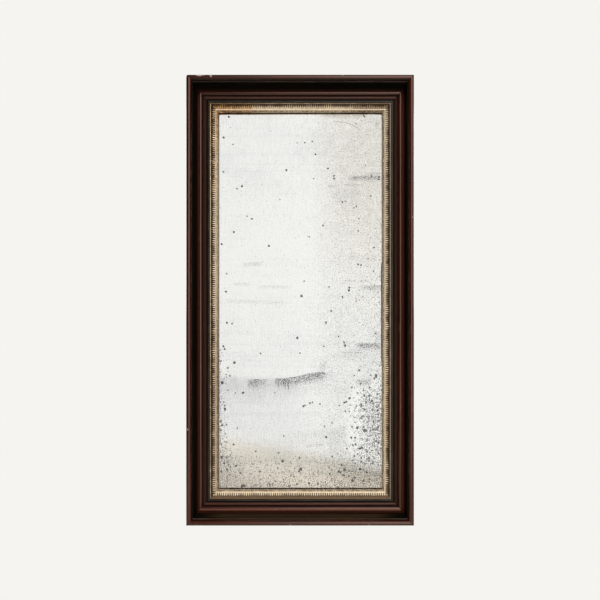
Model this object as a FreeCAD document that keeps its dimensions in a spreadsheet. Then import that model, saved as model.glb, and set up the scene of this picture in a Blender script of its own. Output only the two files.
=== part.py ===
"""Tall wall mirror in a deep built-up frame.

The frame is a mitred box of softwood rails and case sides. Mahogany and ebonised mouldings are laid on
it, and a gilt slip hooks over its inner edge. The plate is wedged behind the slip and closed in with boards.
"""
import FreeCAD, Part
import math
import os
import re
import Sketcher

# Sizes in millimetres. An inset runs inward from the outer edge of the frame, a depth back from its front.
SIZES = {
    "frame_width": 690,
    "frame_height": 1365,
    "overrun": 4,
    # case sides and base rails
    "case_thickness": 13,
    "rail_thickness": 32,
    "ledge_drop": 8,
    "ledge_width": 16,
    "board_rebate": 8,
    # outer bead
    "bead_width": 16,
    "bead_depth": 15,
    # deep cove
    "lip_depth": 11,
    "lip_width": 2.5,
    "cove_width": 11,
    "cove_height": 41,
    "cove_batter": 1.5,
    "cove_hollow": 1.2,
    "cove_foot": 5.5,
    # inner moulding, a torus and a small astragal worked on one strip
    "torus_width": 14,
    "torus_base": 7,
    "quirk_width": 0.8,
    "quirk_depth": 1.6,
    "astragal_width": 8.7,
    "astragal_base": 6.4,
    "astragal_rise": 3,
    # ebonised strip
    "strip_width": 11.5,
    "strip_base": 6.3,
    "strip_rise": 2.3,
    # gilt slip
    "slip_rise": 8.5,
    "slip_fillet": 2.5,
    "slip_step": 3,
    "slip_cove_width": 12,
    "slip_cove_drop": 8.5,
    "slip_bead_width": 5,
    "slip_bead_rise": 2.4,
    "slip_bead_step": 1.3,
    "slip_edge_width": 6,
    "slip_edge_slope": 3.4,
    "slip_tongue": 5.5,
    # mirror plate and its blocks
    "glass_thickness": 3,
    "silver_thickness": 0.3,
    "glass_overlap": 8,
    "block_width": 8,
    "block_nose": 2,
    "block_length": 40,
    "block_clearance": 0.3,
    # backboards and their screws
    "board_thickness": 8,
    "board_gap": 1,
    "board_clearance": 1,
    "board_screw_radius": 1.6,
    "board_screw_length": 20,
    "board_head_radius": 3.2,
    "board_head_height": 1.8,
    # keys across the mitres
    "key_leg": 58,
    "key_thickness": 3,
    # hanger plates, rings and their screws
    "hanger_inset": 42,
    "hanger_height": 400,
    "strap_width": 16,
    "strap_length": 48,
    "strap_thickness": 2.2,
    "eye_height": 5,
    "eye_wall": 1.2,
    "eye_clearance": 0.1,
    "neck_drop": 9,
    "ring_wire": 4,
    "ring_width": 26,
    "ring_arm": 8,
    "ring_bend": 4,
    "hanger_screw_radius": 1.8,
    "hanger_screw_length": 24,
    "hanger_screw_drop": 18,
    "hanger_screw_pitch": 12,
    "hanger_head_radius": 3.6,
    "hanger_head_height": 1.8,
    # slots in all screw heads
    "slot_width": 0.8,
    "slot_depth": 0.9,
    # spacers that stand the frame off the wall
    "spacer_width": 40,
    "spacer_height": 60,
    "spacer_thickness": 9,
    "spacer_margin": 15,
    "felt_thickness": 1.5,
    "felt_margin": 2,
}

BOARD_COUNT = 5
SCREWS_PER_BOARD_END = 2
BOARD_SCREW_SPREAD_SHARE = 0.6
SCREWS_PER_HANGER = 3
KEYS_PER_CORNER = 2
BLOCK_COUNT_ACROSS = 3
BLOCK_COUNT_UP = 5
SLIP_COVE_SHARES = (0.375, 0.75)
SLIP_EDGE_SHARES = (0.55, 0.35)

# Insets of the joints between the mouldings.
TORUS_INSET = "(bead_width + cove_width)"
COVE_ROOT_INSET = "(bead_width + lip_width + cove_batter)"
ASTRAGAL_INSET = f"({TORUS_INSET} + torus_width + quirk_width)"
STRIP_INSET = f"({ASTRAGAL_INSET} + astragal_width)"
SLIP_INSET = f"({STRIP_INSET} + strip_width)"
SLIP_COVE_INSET = f"({SLIP_INSET} + slip_fillet)"
SLIP_BEAD_INSET = f"({SLIP_COVE_INSET} + slip_cove_width)"
SLIP_EDGE_INSET = f"({SLIP_BEAD_INSET} + slip_bead_width)"
SIGHT_INSET = f"({SLIP_EDGE_INSET} + slip_edge_width)"
RAIL_INSET = f"({SLIP_INSET} + ledge_width)"
REBATE_INSET = f"({RAIL_INSET} - board_rebate)"
BOARD_INSET = f"({REBATE_INSET} + board_clearance)"
GLASS_INSET = f"({SIGHT_INSET} - glass_overlap)"
BOARD_SCREW_INSET = f"({RAIL_INSET} - board_rebate / 2)"

# Depths of the faces that the pieces share.
SEAT_DEPTH = "(lip_depth + cove_height)"
LEDGE_DEPTH = f"({SEAT_DEPTH} + ledge_drop)"
GLASS_DEPTH = f"({LEDGE_DEPTH} + slip_tongue)"
SILVER_DEPTH = f"({GLASS_DEPTH} + glass_thickness)"
BLOCK_DEPTH = f"({SILVER_DEPTH} + silver_thickness)"
BACK_DEPTH = f"({SEAT_DEPTH} + rail_thickness)"
BOARD_DEPTH = f"({BACK_DEPTH} - board_thickness)"
STAND_OFF = "(spacer_thickness + felt_thickness)"

# Each side as its turn about the Y axis, the size it runs along and the size it spans across.
SIDES = {
    "top": (0, "frame_width", "frame_height"),
    "right": (90, "frame_height", "frame_width"),
    "bottom": (180, "frame_width", "frame_height"),
    "left": (270, "frame_height", "frame_width"),
}

# How a sketch numbers its origin and the points of an edge.
ORIGIN_INDEX = -1
START_INDEX, END_INDEX, CENTRE_INDEX = 1, 2, 3

doc = FreeCAD.newDocument("WallMirror")
sheet = doc.addObject("Spreadsheet::Sheet", "Sizes")


def fill_sheet():
    for row, (alias, value) in enumerate(SIZES.items(), start=1):
        sheet.set(f"A{row}", alias)
        sheet.set(f"B{row}", str(value))
        sheet.setAlias(f"B{row}", alias)
    doc.recompute()


def bound(text):
    """Name the sheet in front of every size in an expression."""
    return re.sub(r"[a-z_]+", lambda word: f"Sizes.{word[0]}" if word[0] in SIZES else word[0], text)


def number(text):
    return float(sheet.evalExpression(bound(text)))


def wall_y(depth):
    """The Y place of a depth behind the frame's front."""
    return f"{depth} - {BACK_DEPTH} - {STAND_OFF}"


# Sketches

def new_body(label):
    body = doc.addObject("PartDesign::Body", label)
    body.Label = label
    return body


def origin_part(body, role):
    return next(part for part in body.Origin.OriginFeatures if part.Role == role)


def new_sketch(body, plane, offset="0"):
    sketch = body.newObject("Sketcher::SketchObject", f"{body.Name}_outline")
    sketch.AttachmentSupport = [(origin_part(body, plane), "")]
    sketch.MapMode = "FlatFace"
    sketch.setExpression("AttachmentOffset.Base.z", bound(offset))
    return sketch


def pin(sketch, geometry, point, x, y):
    """Hold one point of a sketch at a place given by two expressions."""
    for kind, text in (("DistanceX", x), ("DistanceY", y)):
        rule = Sketcher.Constraint(kind, ORIGIN_INDEX, START_INDEX, geometry, point, number(text))
        row = sketch.addConstraint(rule)
        sketch.setExpression(f"Constraints[{row}]", bound(text))


def arc_through(start, via, end):
    """The arc, drawn anticlockwise, and whether the path follows it that way."""
    centre = Part.Arc(start, via, end).toShape().Curve.Center
    forward = (via - start).cross(end - via).z > 0
    first, last = (start, end) if forward else (end, start)
    angles = [math.atan2(point.y - centre.y, point.x - centre.x) for point in (first, last)]
    if angles[1] <= angles[0]:
        angles[1] += 2 * math.pi
    circle = Part.Circle(centre, FreeCAD.Vector(0, 0, 1), (start - centre).Length)
    return Part.ArcOfCircle(circle, angles[0], angles[1]), forward


def draw(sketch, steps):
    """Draw a closed outline. A step of two expressions is a corner, one of four is an arc's via and end."""
    def point(x, y):
        return FreeCAD.Vector(number(x), number(y), 0)

    starts = [step[-2:] for step in steps]
    legs = steps[1:] + steps[:1]
    joints = []
    for start, leg in zip(starts, legs):
        if len(leg) == 2:
            edge = sketch.addGeometry(Part.LineSegment(point(*start), point(*leg)), False)
            forward = True
        else:
            arc, forward = arc_through(point(*start), point(*leg[:2]), point(*leg[2:]))
            edge = sketch.addGeometry(arc, False)
            mark = sketch.addGeometry(Part.Point(point(*leg[:2])), True)
            pin(sketch, mark, START_INDEX, *leg[:2])
            sketch.addConstraint(Sketcher.Constraint("PointOnObject", mark, START_INDEX, edge))
        near, far = (START_INDEX, END_INDEX) if forward else (END_INDEX, START_INDEX)
        joints.append((edge, near, far))
    for number_of_leg, (edge, near, far) in enumerate(joints):
        pin(sketch, edge, near, *starts[number_of_leg])
        following = joints[(number_of_leg + 1) % len(joints)]
        sketch.addConstraint(Sketcher.Constraint("Coincident", edge, far, following[0], following[1]))


def draw_circle(sketch, x, y, radius):
    centre = FreeCAD.Vector(number(x), number(y), 0)
    edge = sketch.addGeometry(Part.Circle(centre, FreeCAD.Vector(0, 0, 1), number(radius)), False)
    pin(sketch, edge, CENTRE_INDEX, x, y)
    row = sketch.addConstraint(Sketcher.Constraint("Radius", edge, number(radius)))
    sketch.setExpression(f"Constraints[{row}]", bound(radius))


def rectangle(x_low, x_high, y_low, y_high):
    return [(x_low, y_low), (x_high, y_low), (x_high, y_high), (x_low, y_high)]


# Features

def pad(body, sketch, length, symmetric=True, flipped=False):
    feature = body.newObject("PartDesign::Pad", f"{body.Name}_pad")
    feature.Profile = sketch
    feature.setExpression("Length", bound(length))
    feature.SideType = "Symmetric" if symmetric else "One side"
    feature.Reversed = flipped
    doc.recompute()
    return feature


def pocket(body, sketch, length=None, symmetric=True, flipped=False):
    """Cut a sketch out of a body, right through it where no length is given."""
    before = body.Shape.Volume
    feature = body.newObject("PartDesign::Pocket", f"{body.Name}_pocket")
    feature.Profile = sketch
    if length is None:
        feature.Type = "ThroughAll"
    else:
        feature.setExpression("Length", bound(length))
    feature.SideType = "Symmetric" if symmetric else "One side"
    feature.Reversed = flipped
    doc.recompute()
    if not body.Shape.Volume < before:
        raise RuntimeError(f"{feature.Name} cuts nothing")
    return feature


def repeat(body, axis, length, count):
    """Copy everything in a body along one of its axes."""
    pattern = body.newObject("PartDesign::LinearPattern", f"{body.Name}_row")
    pattern.TransformMode = "Whole shape"
    pattern.Direction = (origin_part(body, axis), [""])
    pattern.setExpression("Length", bound(length))
    pattern.Occurrences = count
    body.Tip = pattern
    doc.recompute()
    return pattern


def place(thing, x="0", y="0", z="0"):
    for axis, text in (("x", x), ("y", y), ("z", z)):
        thing.setExpression(f"Placement.Base.{axis}", bound(text))


def cut_out(label, base, *tools):
    """The node that is left when other solids are cut out of a blank."""
    result = base
    for number_of_tool, tool in enumerate(tools, start=1):
        last = number_of_tool == len(tools)
        cut = doc.addObject("Part::Cut", label if last else f"{label}_step_{number_of_tool}")
        cut.Base = result
        cut.Tool = tool
        result = cut
    result.Label = label
    return result


# Mitred members of the frame

def corner_signs():
    return [(x, z) for x in (1, -1) for z in (1, -1)]


def member(label, side, outline):
    """One mitred length with a constant section, given in insets and depths."""
    turn, run, span = SIDES[side]
    body = new_body(label)
    sketch = new_sketch(body, "YZ_Plane")
    section = []
    for step in outline:
        places = [(wall_y(depth), f"{span} / 2 - {inset}") for inset, depth in zip(step[0::2], step[1::2])]
        section.append(sum(places, ()))
    draw(sketch, section)
    pad(body, sketch, run)
    waste = new_sketch(body, "XZ_Plane")
    for sign in (1, -1):
        far_x = f"{sign} * ({run} / 2 + overrun)"
        near_x = f"{sign} * ({run} / 2 - {SIGHT_INSET} - overrun)"
        low_z = f"{span} / 2 - {SIGHT_INSET} - overrun"
        draw(waste, [(far_x, f"{span} / 2 + overrun"), (far_x, low_z), (near_x, low_z)])
    pocket(body, waste)
    body.Placement = FreeCAD.Placement(FreeCAD.Vector(), FreeCAD.Rotation(FreeCAD.Vector(0, 1, 0), turn))
    return body


def key_corner(x_half, z_half, x_sign, z_sign, margin):
    """The triangle of a mitre key at one corner, drawn larger by a margin on its open sides."""
    far_x = f"{x_sign} * ({x_half} + {margin})"
    far_z = f"{z_sign} * ({z_half} + {margin})"
    near_x = f"{x_sign} * ({x_half} - key_leg - {margin})"
    near_z = f"{z_sign} * ({z_half} - key_leg - {margin})"
    return [(far_x, far_z), (near_x, far_z), (far_x, near_z)]


def key_depth(level):
    """Depth of the middle of a key, at even steps through the rail."""
    return f"({SEAT_DEPTH} + rail_thickness * {level + 0.5} / {KEYS_PER_CORNER})"


def slot_for_keys(body, side):
    turn, run, span = SIDES[side]
    for level in range(KEYS_PER_CORNER):
        sketch = new_sketch(body, "XZ_Plane", f"-({wall_y(key_depth(level))})")
        for sign in (1, -1):
            draw(sketch, key_corner(f"{run} / 2", f"{span} / 2", sign, 1, "overrun"))
        pocket(body, sketch, "key_thickness")


def case_side(side):
    outline = rectangle("0", "case_thickness", "bead_depth", BACK_DEPTH)
    body = member(f"case_side_{side}", side, outline)
    slot_for_keys(body, side)
    return body


def base_rail(side, *screws):
    label = f"base_rail_{side}"
    body = member(f"{label}_blank" if screws else label, side, [
        ("case_thickness", SEAT_DEPTH),
        (SLIP_INSET, SEAT_DEPTH),
        (SLIP_INSET, LEDGE_DEPTH),
        (RAIL_INSET, LEDGE_DEPTH),
        (RAIL_INSET, BOARD_DEPTH),
        (REBATE_INSET, BOARD_DEPTH),
        (REBATE_INSET, BACK_DEPTH),
        ("case_thickness", BACK_DEPTH),
    ])
    slot_for_keys(body, side)
    return cut_out(label, body, *screws) if screws else body


def outer_bead(side):
    return member(f"outer_bead_{side}", side, [
        ("0", "bead_depth"),
        ("0", "bead_width / 2"),
        ("bead_width / 2", "0", "bead_width", "bead_width / 2"),
        ("bead_width", "bead_depth"),
    ])


def cove(side):
    lip_inset = "(bead_width + lip_width)"
    radius = f"({TORUS_INSET} - {COVE_ROOT_INSET})"
    foot_depth = f"({SEAT_DEPTH} - cove_foot)"
    root_depth = f"({foot_depth} - {radius})"
    return member(f"cove_{side}", side, [
        ("case_thickness", "bead_depth"),
        ("bead_width", "bead_depth"),
        ("bead_width", "lip_depth"),
        (lip_inset, "lip_depth"),
        (f"(({lip_inset} + {COVE_ROOT_INSET}) / 2 - cove_hollow)", f"((lip_depth + {root_depth}) / 2)",
         COVE_ROOT_INSET, root_depth),
        (f"({TORUS_INSET} - {radius} * sqrt(0.5))", f"({root_depth} + {radius} * sqrt(0.5))",
         TORUS_INSET, foot_depth),
        (TORUS_INSET, SEAT_DEPTH),
        ("case_thickness", SEAT_DEPTH),
    ])


def inner_moulding(side):
    torus_end = f"({TORUS_INSET} + torus_width)"
    flank = f"({SEAT_DEPTH} - torus_base)"
    quirk = f"({flank} + quirk_depth)"
    foot = f"({SEAT_DEPTH} - astragal_base)"
    return member(f"inner_moulding_{side}", side, [
        (TORUS_INSET, SEAT_DEPTH),
        (TORUS_INSET, flank),
        (f"({TORUS_INSET} + torus_width / 2)", f"({flank} - torus_width / 2)", torus_end, flank),
        (torus_end, quirk),
        (ASTRAGAL_INSET, quirk),
        (ASTRAGAL_INSET, foot),
        (f"({ASTRAGAL_INSET} + astragal_width / 2)", f"({foot} - astragal_rise)", STRIP_INSET, foot),
        (STRIP_INSET, SEAT_DEPTH),
    ])


def ebonised_strip(side):
    foot = f"({SEAT_DEPTH} - strip_base)"
    return member(f"ebonised_strip_{side}", side, [
        (STRIP_INSET, SEAT_DEPTH),
        (STRIP_INSET, foot),
        (f"({STRIP_INSET} + strip_width / 2)", f"({foot} - strip_rise)", SLIP_INSET, foot),
        (SLIP_INSET, SEAT_DEPTH),
    ])


def gilt_slip(side):
    top = f"({SEAT_DEPTH} - slip_rise)"
    groove = f"({top} + slip_step)"
    foot = f"({groove} + slip_cove_drop)"
    edge = f"({foot} + slip_bead_step)"
    cove_inset_share, cove_depth_share = SLIP_COVE_SHARES
    edge_inset_share, edge_depth_share = SLIP_EDGE_SHARES
    return member(f"gilt_slip_{side}", side, [
        (SLIP_INSET, LEDGE_DEPTH),
        (SLIP_INSET, top),
        (SLIP_COVE_INSET, top),
        (SLIP_COVE_INSET, groove),
        (f"({SLIP_COVE_INSET} + slip_cove_width * {cove_inset_share})",
         f"({groove} + slip_cove_drop * {cove_depth_share})", SLIP_BEAD_INSET, foot),
        (f"({SLIP_BEAD_INSET} + slip_bead_width / 2)", f"({foot} - slip_bead_rise)", SLIP_EDGE_INSET, foot),
        (SLIP_EDGE_INSET, edge),
        (f"({SLIP_EDGE_INSET} + slip_edge_width * {edge_inset_share})",
         f"({edge} + slip_edge_slope * {edge_depth_share})", SIGHT_INSET, f"({edge} + slip_edge_slope)"),
        (SIGHT_INSET, GLASS_DEPTH),
        (RAIL_INSET, GLASS_DEPTH),
        (RAIL_INSET, LEDGE_DEPTH),
    ])


def mitre_keys():
    body = new_body("mitre_keys")
    sketch = new_sketch(body, "XZ_Plane", f"-({wall_y(key_depth(0))})")
    for x_sign, z_sign in corner_signs():
        draw(sketch, key_corner("frame_width / 2", "frame_height / 2", x_sign, z_sign, "0"))
    pad(body, sketch, "key_thickness")
    repeat(body, "Y_Axis", f"{key_depth(KEYS_PER_CORNER - 1)} - {key_depth(0)}", KEYS_PER_CORNER)
    return body


# Plate, blocks and boards

def sheet_body(label, inset, depth, thickness):
    """A flat rectangle that keeps one inset all round, with its front at a depth."""
    body = new_body(label)
    sketch = new_sketch(body, "XZ_Plane", f"-({wall_y(depth)})")
    half_width = f"(frame_width / 2 - {inset})"
    half_height = f"(frame_height / 2 - {inset})"
    draw(sketch, rectangle(f"-{half_width}", half_width, f"-{half_height}", half_height))
    pad(body, sketch, thickness, symmetric=False, flipped=True)
    return body


def glazing_blocks():
    """Small wedges rubbed in between the rebate and the back of the plate."""
    rows = []
    for side, (turn, run, span) in SIDES.items():
        count = BLOCK_COUNT_ACROSS if run == "frame_width" else BLOCK_COUNT_UP
        pitch = f"(({run} - 2 * {RAIL_INSET}) / {count})"
        body = new_body(f"glazing_blocks_{side}")
        sketch = new_sketch(body, "YZ_Plane", f"-{pitch} * {(count - 1) / 2}")
        wall = f"{span} / 2 - {RAIL_INSET}"
        low = wall_y(BLOCK_DEPTH)
        high = f"{wall_y(BOARD_DEPTH)} - block_clearance"
        nose = f"{wall} - block_nose"
        draw(sketch, [(low, wall), (low, f"{wall} - block_width"), (high, nose), (high, wall)])
        pad(body, sketch, "block_length")
        repeat(body, "X_Axis", f"{pitch} * {count - 1}", count)
        body.Placement = FreeCAD.Placement(FreeCAD.Vector(), FreeCAD.Rotation(FreeCAD.Vector(0, 1, 0), turn))
        rows.append(body)
    group = doc.addObject("Part::Compound", "glazing_blocks")
    group.Label = "glazing_blocks"
    group.Links = rows
    return group


def board_height():
    return f"((frame_height - 2 * {BOARD_INSET} - {BOARD_COUNT - 1} * board_gap) / {BOARD_COUNT})"


def board_pitch():
    return f"({board_height()} + board_gap)"


def backboard(row, screws):
    """One board across the back, the first at the bottom."""
    label = f"backboard_{row + 1}"
    body = new_body(f"{label}_blank")
    sketch = new_sketch(body, "XZ_Plane", f"-({wall_y(BOARD_DEPTH)})")
    half_width = f"(frame_width / 2 - {BOARD_INSET})"
    middle = f"({board_pitch()} * {row - (BOARD_COUNT - 1) / 2})"
    draw(sketch, rectangle(f"-{half_width}", half_width,
                           f"{middle} - {board_height()} / 2", f"{middle} + {board_height()} / 2"))
    pad(body, sketch, "board_thickness", symmetric=False, flipped=True)
    return cut_out(label, body, screws)


# Screws, hangers and spacers

def screw(label, radius, length, head_radius, head_height):
    """A countersunk screw with its head flush at the origin, pointing along -Y."""
    body = new_body(label)
    sketch = new_sketch(body, "XY_Plane")
    draw(sketch, [
        ("0", "0"),
        (head_radius, "0"),
        (radius, f"-{head_height}"),
        (radius, f"-({length} - {radius})"),
        ("0", f"-{length}"),
    ])
    turned = body.newObject("PartDesign::Revolution", f"{label}_turned")
    turned.Profile = sketch
    turned.ReferenceAxis = (sketch, ["V_Axis"])
    turned.Angle = 360
    doc.recompute()
    slot = new_sketch(body, "XZ_Plane")
    draw(slot, rectangle(f"-({head_radius} + slot_width)", f"{head_radius} + slot_width",
                         "-slot_width / 2", "slot_width / 2"))
    pocket(body, slot, "slot_depth", symmetric=False, flipped=True)
    return body


def backboard_screws():
    body = screw("backboard_screws", "board_screw_radius", "board_screw_length",
                 "board_head_radius", "board_head_height")
    spread = f"({board_height()} * {BOARD_SCREW_SPREAD_SHARE})"
    half_width = f"(frame_width / 2 - {BOARD_SCREW_INSET})"
    repeat(body, "X_Axis", f"2 * {half_width}", 2)
    repeat(body, "Z_Axis", spread, SCREWS_PER_BOARD_END)
    repeat(body, "Z_Axis", f"{board_pitch()} * {BOARD_COUNT - 1}", BOARD_COUNT)
    lowest = f"({board_pitch()} * {(BOARD_COUNT - 1) / 2} + {spread} / 2)"
    place(body, f"-{half_width}", f"-{STAND_OFF}", f"-{lowest}")
    return body


def hanger_screws():
    body = screw("hanger_screws", "hanger_screw_radius", "hanger_screw_length",
                 "hanger_head_radius", "hanger_head_height")
    half_width = "(frame_width / 2 - hanger_inset)"
    rise = f"(hanger_screw_pitch * {SCREWS_PER_HANGER - 1})"
    repeat(body, "X_Axis", f"2 * {half_width}", 2)
    repeat(body, "Z_Axis", rise, SCREWS_PER_HANGER)
    place(body, f"-{half_width}", f"-{STAND_OFF} + strap_thickness",
          f"hanger_height - hanger_screw_drop - {rise}")
    return body


def hang(body, sign):
    """Put a hanger's pivot on its stile."""
    place(body, f"{sign} * (frame_width / 2 - hanger_inset)", f"-{STAND_OFF} + eye_height", "hanger_height")


def hanger_plate(side, sign, screws):
    """A folded strap, with its eye at the origin and its leaf below."""
    label = f"hanger_plate_{side}"
    body = new_body(f"{label}_blank")
    bore = "(ring_wire / 2 + eye_clearance)"
    back = "-eye_height"
    face = "(-eye_height + strap_thickness)"
    leaf = new_sketch(body, "XZ_Plane", "eye_height")
    half = "strap_width / 2"
    draw(leaf, [
        (f"-{half}", "-neck_drop"),
        (f"-{half}", f"-strap_length + {half}"),
        ("0", "-strap_length", half, f"-strap_length + {half}"),
        (half, "-neck_drop"),
    ])
    pad(body, leaf, "strap_thickness", symmetric=False, flipped=True)
    neck = new_sketch(body, "YZ_Plane")
    draw(neck, [
        (back, "-neck_drop"),
        (face, "-neck_drop"),
        (f"{bore}", f"-{bore}"),
        (f"-({bore} + eye_wall)", "0"),
        (back, "-neck_drop / 2"),
    ])
    pad(body, neck, "strap_width")
    eye = new_sketch(body, "YZ_Plane")
    draw_circle(eye, "0", "0", f"{bore} + eye_wall")
    pad(body, eye, "strap_width")
    hole = new_sketch(body, "YZ_Plane")
    draw_circle(hole, "0", "0", bore)
    pocket(body, hole)
    hang(body, sign)
    return cut_out(label, body, screws)


def hanger_ring(side, sign):
    """A ring of round wire with one straight bar, hanging from its pivot at the origin."""
    body = new_body(f"hanger_ring_{side}")
    half = "(ring_width / 2)"
    bar = f"({half} - ring_bend)"
    foot = "(ring_bend + ring_arm)"
    corner = "(ring_bend * (1 - sqrt(0.5)))"
    path = new_sketch(body, "XZ_Plane")
    draw(path, [
        ("0", "0"),
        (bar, "0"),
        (f"{half} - {corner}", f"-{corner}", half, "-ring_bend"),
        (half, f"-{foot}"),
        ("0", f"-({foot} + {half})", f"-{half}", f"-{foot}"),
        (f"-{half}", "-ring_bend"),
        (f"-{half} + {corner}", f"-{corner}", f"-{bar}", "0"),
    ])
    wire = new_sketch(body, "YZ_Plane")
    draw_circle(wire, "0", "0", "ring_wire / 2")
    swept = body.newObject("PartDesign::AdditivePipe", f"{body.Name}_swept")
    swept.Profile = wire
    swept.Spine = (path, [f"Edge{edge}" for edge in range(1, len(path.Shape.Edges) + 1)])
    doc.recompute()
    hang(body, sign)
    return body


def spacer_group(label, margin, depth_from_wall, thickness):
    """Four like blocks near the corners of the back."""
    body = new_body(label)
    sketch = new_sketch(body, "XZ_Plane", depth_from_wall)
    half_width = f"(spacer_width / 2 - {margin})"
    half_height = f"(spacer_height / 2 - {margin})"
    draw(sketch, rectangle(f"-{half_width}", half_width, f"-{half_height}", half_height))
    pad(body, sketch, thickness, symmetric=False, flipped=True)
    half_span = "(frame_width / 2 - spacer_margin - spacer_width / 2)"
    half_rise = "(frame_height / 2 - spacer_margin - spacer_height / 2)"
    repeat(body, "X_Axis", f"2 * {half_span}", 2)
    repeat(body, "Z_Axis", f"2 * {half_rise}", 2)
    place(body, f"-{half_span}", "0", f"-{half_rise}")
    return body


def build():
    fill_sheet()
    board_screws = backboard_screws()
    strap_screws = hanger_screws()
    nodes = [board_screws, strap_screws, mitre_keys(), glazing_blocks()]
    nodes.append(sheet_body("mirror_glass", GLASS_INSET, GLASS_DEPTH, "glass_thickness"))
    nodes.append(sheet_body("silvering", GLASS_INSET, SILVER_DEPTH, "silver_thickness"))
    for side in SIDES:
        screws = (board_screws, strap_screws) if side in ("left", "right") else ()
        nodes.append(base_rail(side, *screws))
        for make in (case_side, outer_bead, cove, inner_moulding, ebonised_strip, gilt_slip):
            nodes.append(make(side))
    for row in range(BOARD_COUNT):
        nodes.append(backboard(row, board_screws))
    for side, sign in (("left", -1), ("right", 1)):
        nodes.append(hanger_plate(side, sign, strap_screws))
        nodes.append(hanger_ring(side, sign))
    nodes.append(spacer_group("wall_spacers", "0", STAND_OFF, "spacer_thickness"))
    nodes.append(spacer_group("spacer_felts", "felt_margin", "felt_thickness", "felt_thickness"))
    doc.recompute()
    return nodes


def check(nodes):
    for thing in doc.Objects:
        if {"Invalid", "Error"} & set(thing.State):
            raise RuntimeError(f"{thing.Name} did not build: {thing.State}")
    for node in nodes:
        if node.Shape.isNull() or not node.Shape.isValid():
            raise RuntimeError(f"{node.Label} has no valid shape")


def write(nodes):
    os.makedirs("parts", exist_ok=True)
    for node in nodes:
        node.Shape.exportStep(f"parts/{node.Label}.step")
        print(f"{node.Label}: {len(node.Shape.Solids)} solids, {node.Shape.Volume:.0f} mm3")


all_nodes = build()
check(all_nodes)
write(all_nodes)
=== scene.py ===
"""An old wall mirror in a deep mitred frame, dressed over its CAD solids.

The mouldings of the front are carried along the four sides and cut at their mitres. The mirror plate and
its foxed silvering are made anew as well. Everything else is the CAD solids with finishes of their own.
Insets run inward from the outer edge of the frame, and depths run back from its front.
"""

import math
from functools import partial

import bmesh
import bpy
from bpy.props import FloatProperty, FloatVectorProperty, IntProperty, PointerProperty
from mathutils import Matrix, Vector, noise


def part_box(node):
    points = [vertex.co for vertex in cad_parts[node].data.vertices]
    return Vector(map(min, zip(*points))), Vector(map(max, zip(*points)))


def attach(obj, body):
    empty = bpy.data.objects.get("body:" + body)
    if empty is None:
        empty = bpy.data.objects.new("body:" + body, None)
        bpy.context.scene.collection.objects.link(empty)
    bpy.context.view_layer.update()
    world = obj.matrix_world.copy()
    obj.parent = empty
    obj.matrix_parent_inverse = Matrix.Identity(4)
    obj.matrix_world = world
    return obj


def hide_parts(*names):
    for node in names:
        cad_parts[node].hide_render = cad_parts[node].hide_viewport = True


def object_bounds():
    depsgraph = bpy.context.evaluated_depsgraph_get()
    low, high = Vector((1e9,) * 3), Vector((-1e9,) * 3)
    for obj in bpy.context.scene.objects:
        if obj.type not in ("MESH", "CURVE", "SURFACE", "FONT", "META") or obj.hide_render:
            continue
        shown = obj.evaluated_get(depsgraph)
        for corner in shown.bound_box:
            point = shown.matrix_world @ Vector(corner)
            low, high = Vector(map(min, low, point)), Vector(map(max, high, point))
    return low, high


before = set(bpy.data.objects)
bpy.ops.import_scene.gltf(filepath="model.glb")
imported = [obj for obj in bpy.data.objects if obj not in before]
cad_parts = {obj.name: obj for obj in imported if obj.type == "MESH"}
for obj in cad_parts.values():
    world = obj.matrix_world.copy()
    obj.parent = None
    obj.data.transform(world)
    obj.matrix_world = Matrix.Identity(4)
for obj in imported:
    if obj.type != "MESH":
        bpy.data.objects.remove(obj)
CAD_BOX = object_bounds()

bl_info = {
    "name": "Old Wall Mirror",
    "version": (1, 0, 0),
    "blender": (4, 5, 0),
    "location": "3D View > Sidebar > Mirror",
    "description": "Builds a foxed wall mirror in a deep frame of mahogany, ebonised wood and gilding",
    "category": "Add Mesh",
}

MM = 0.001
FRONT = CAD_BOX[0].y
HALF_WIDTH = CAD_BOX[1].x
HALF_HEIGHT = CAD_BOX[1].z
# Each side as its turn about the Y axis in degrees, half of its run and half of the span across it.
SIDES = {
    "top": (0, HALF_WIDTH, HALF_HEIGHT),
    "right": (90, HALF_HEIGHT, HALF_WIDTH),
    "bottom": (180, HALF_WIDTH, HALF_HEIGHT),
    "left": (270, HALF_HEIGHT, HALF_WIDTH),
}
PLACE = "place_on_moulding"
BAKE_MAP = "OFBake"
# Width of the camera's sensor in millimetres, and in pixels of the picture that its settings are given for.
SENSOR_WIDTH, PICTURE_WIDTH = 36, 600


def tint(red, green, blue):
    """A colour written as the 0 to 255 values seen on a screen, as the linear values of shaders."""
    shares = [value / 255 for value in (red, green, blue)]
    return tuple(s / 12.92 if s <= 0.04045 else ((s + 0.055) / 1.055) ** 2.4 for s in shares)


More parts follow.
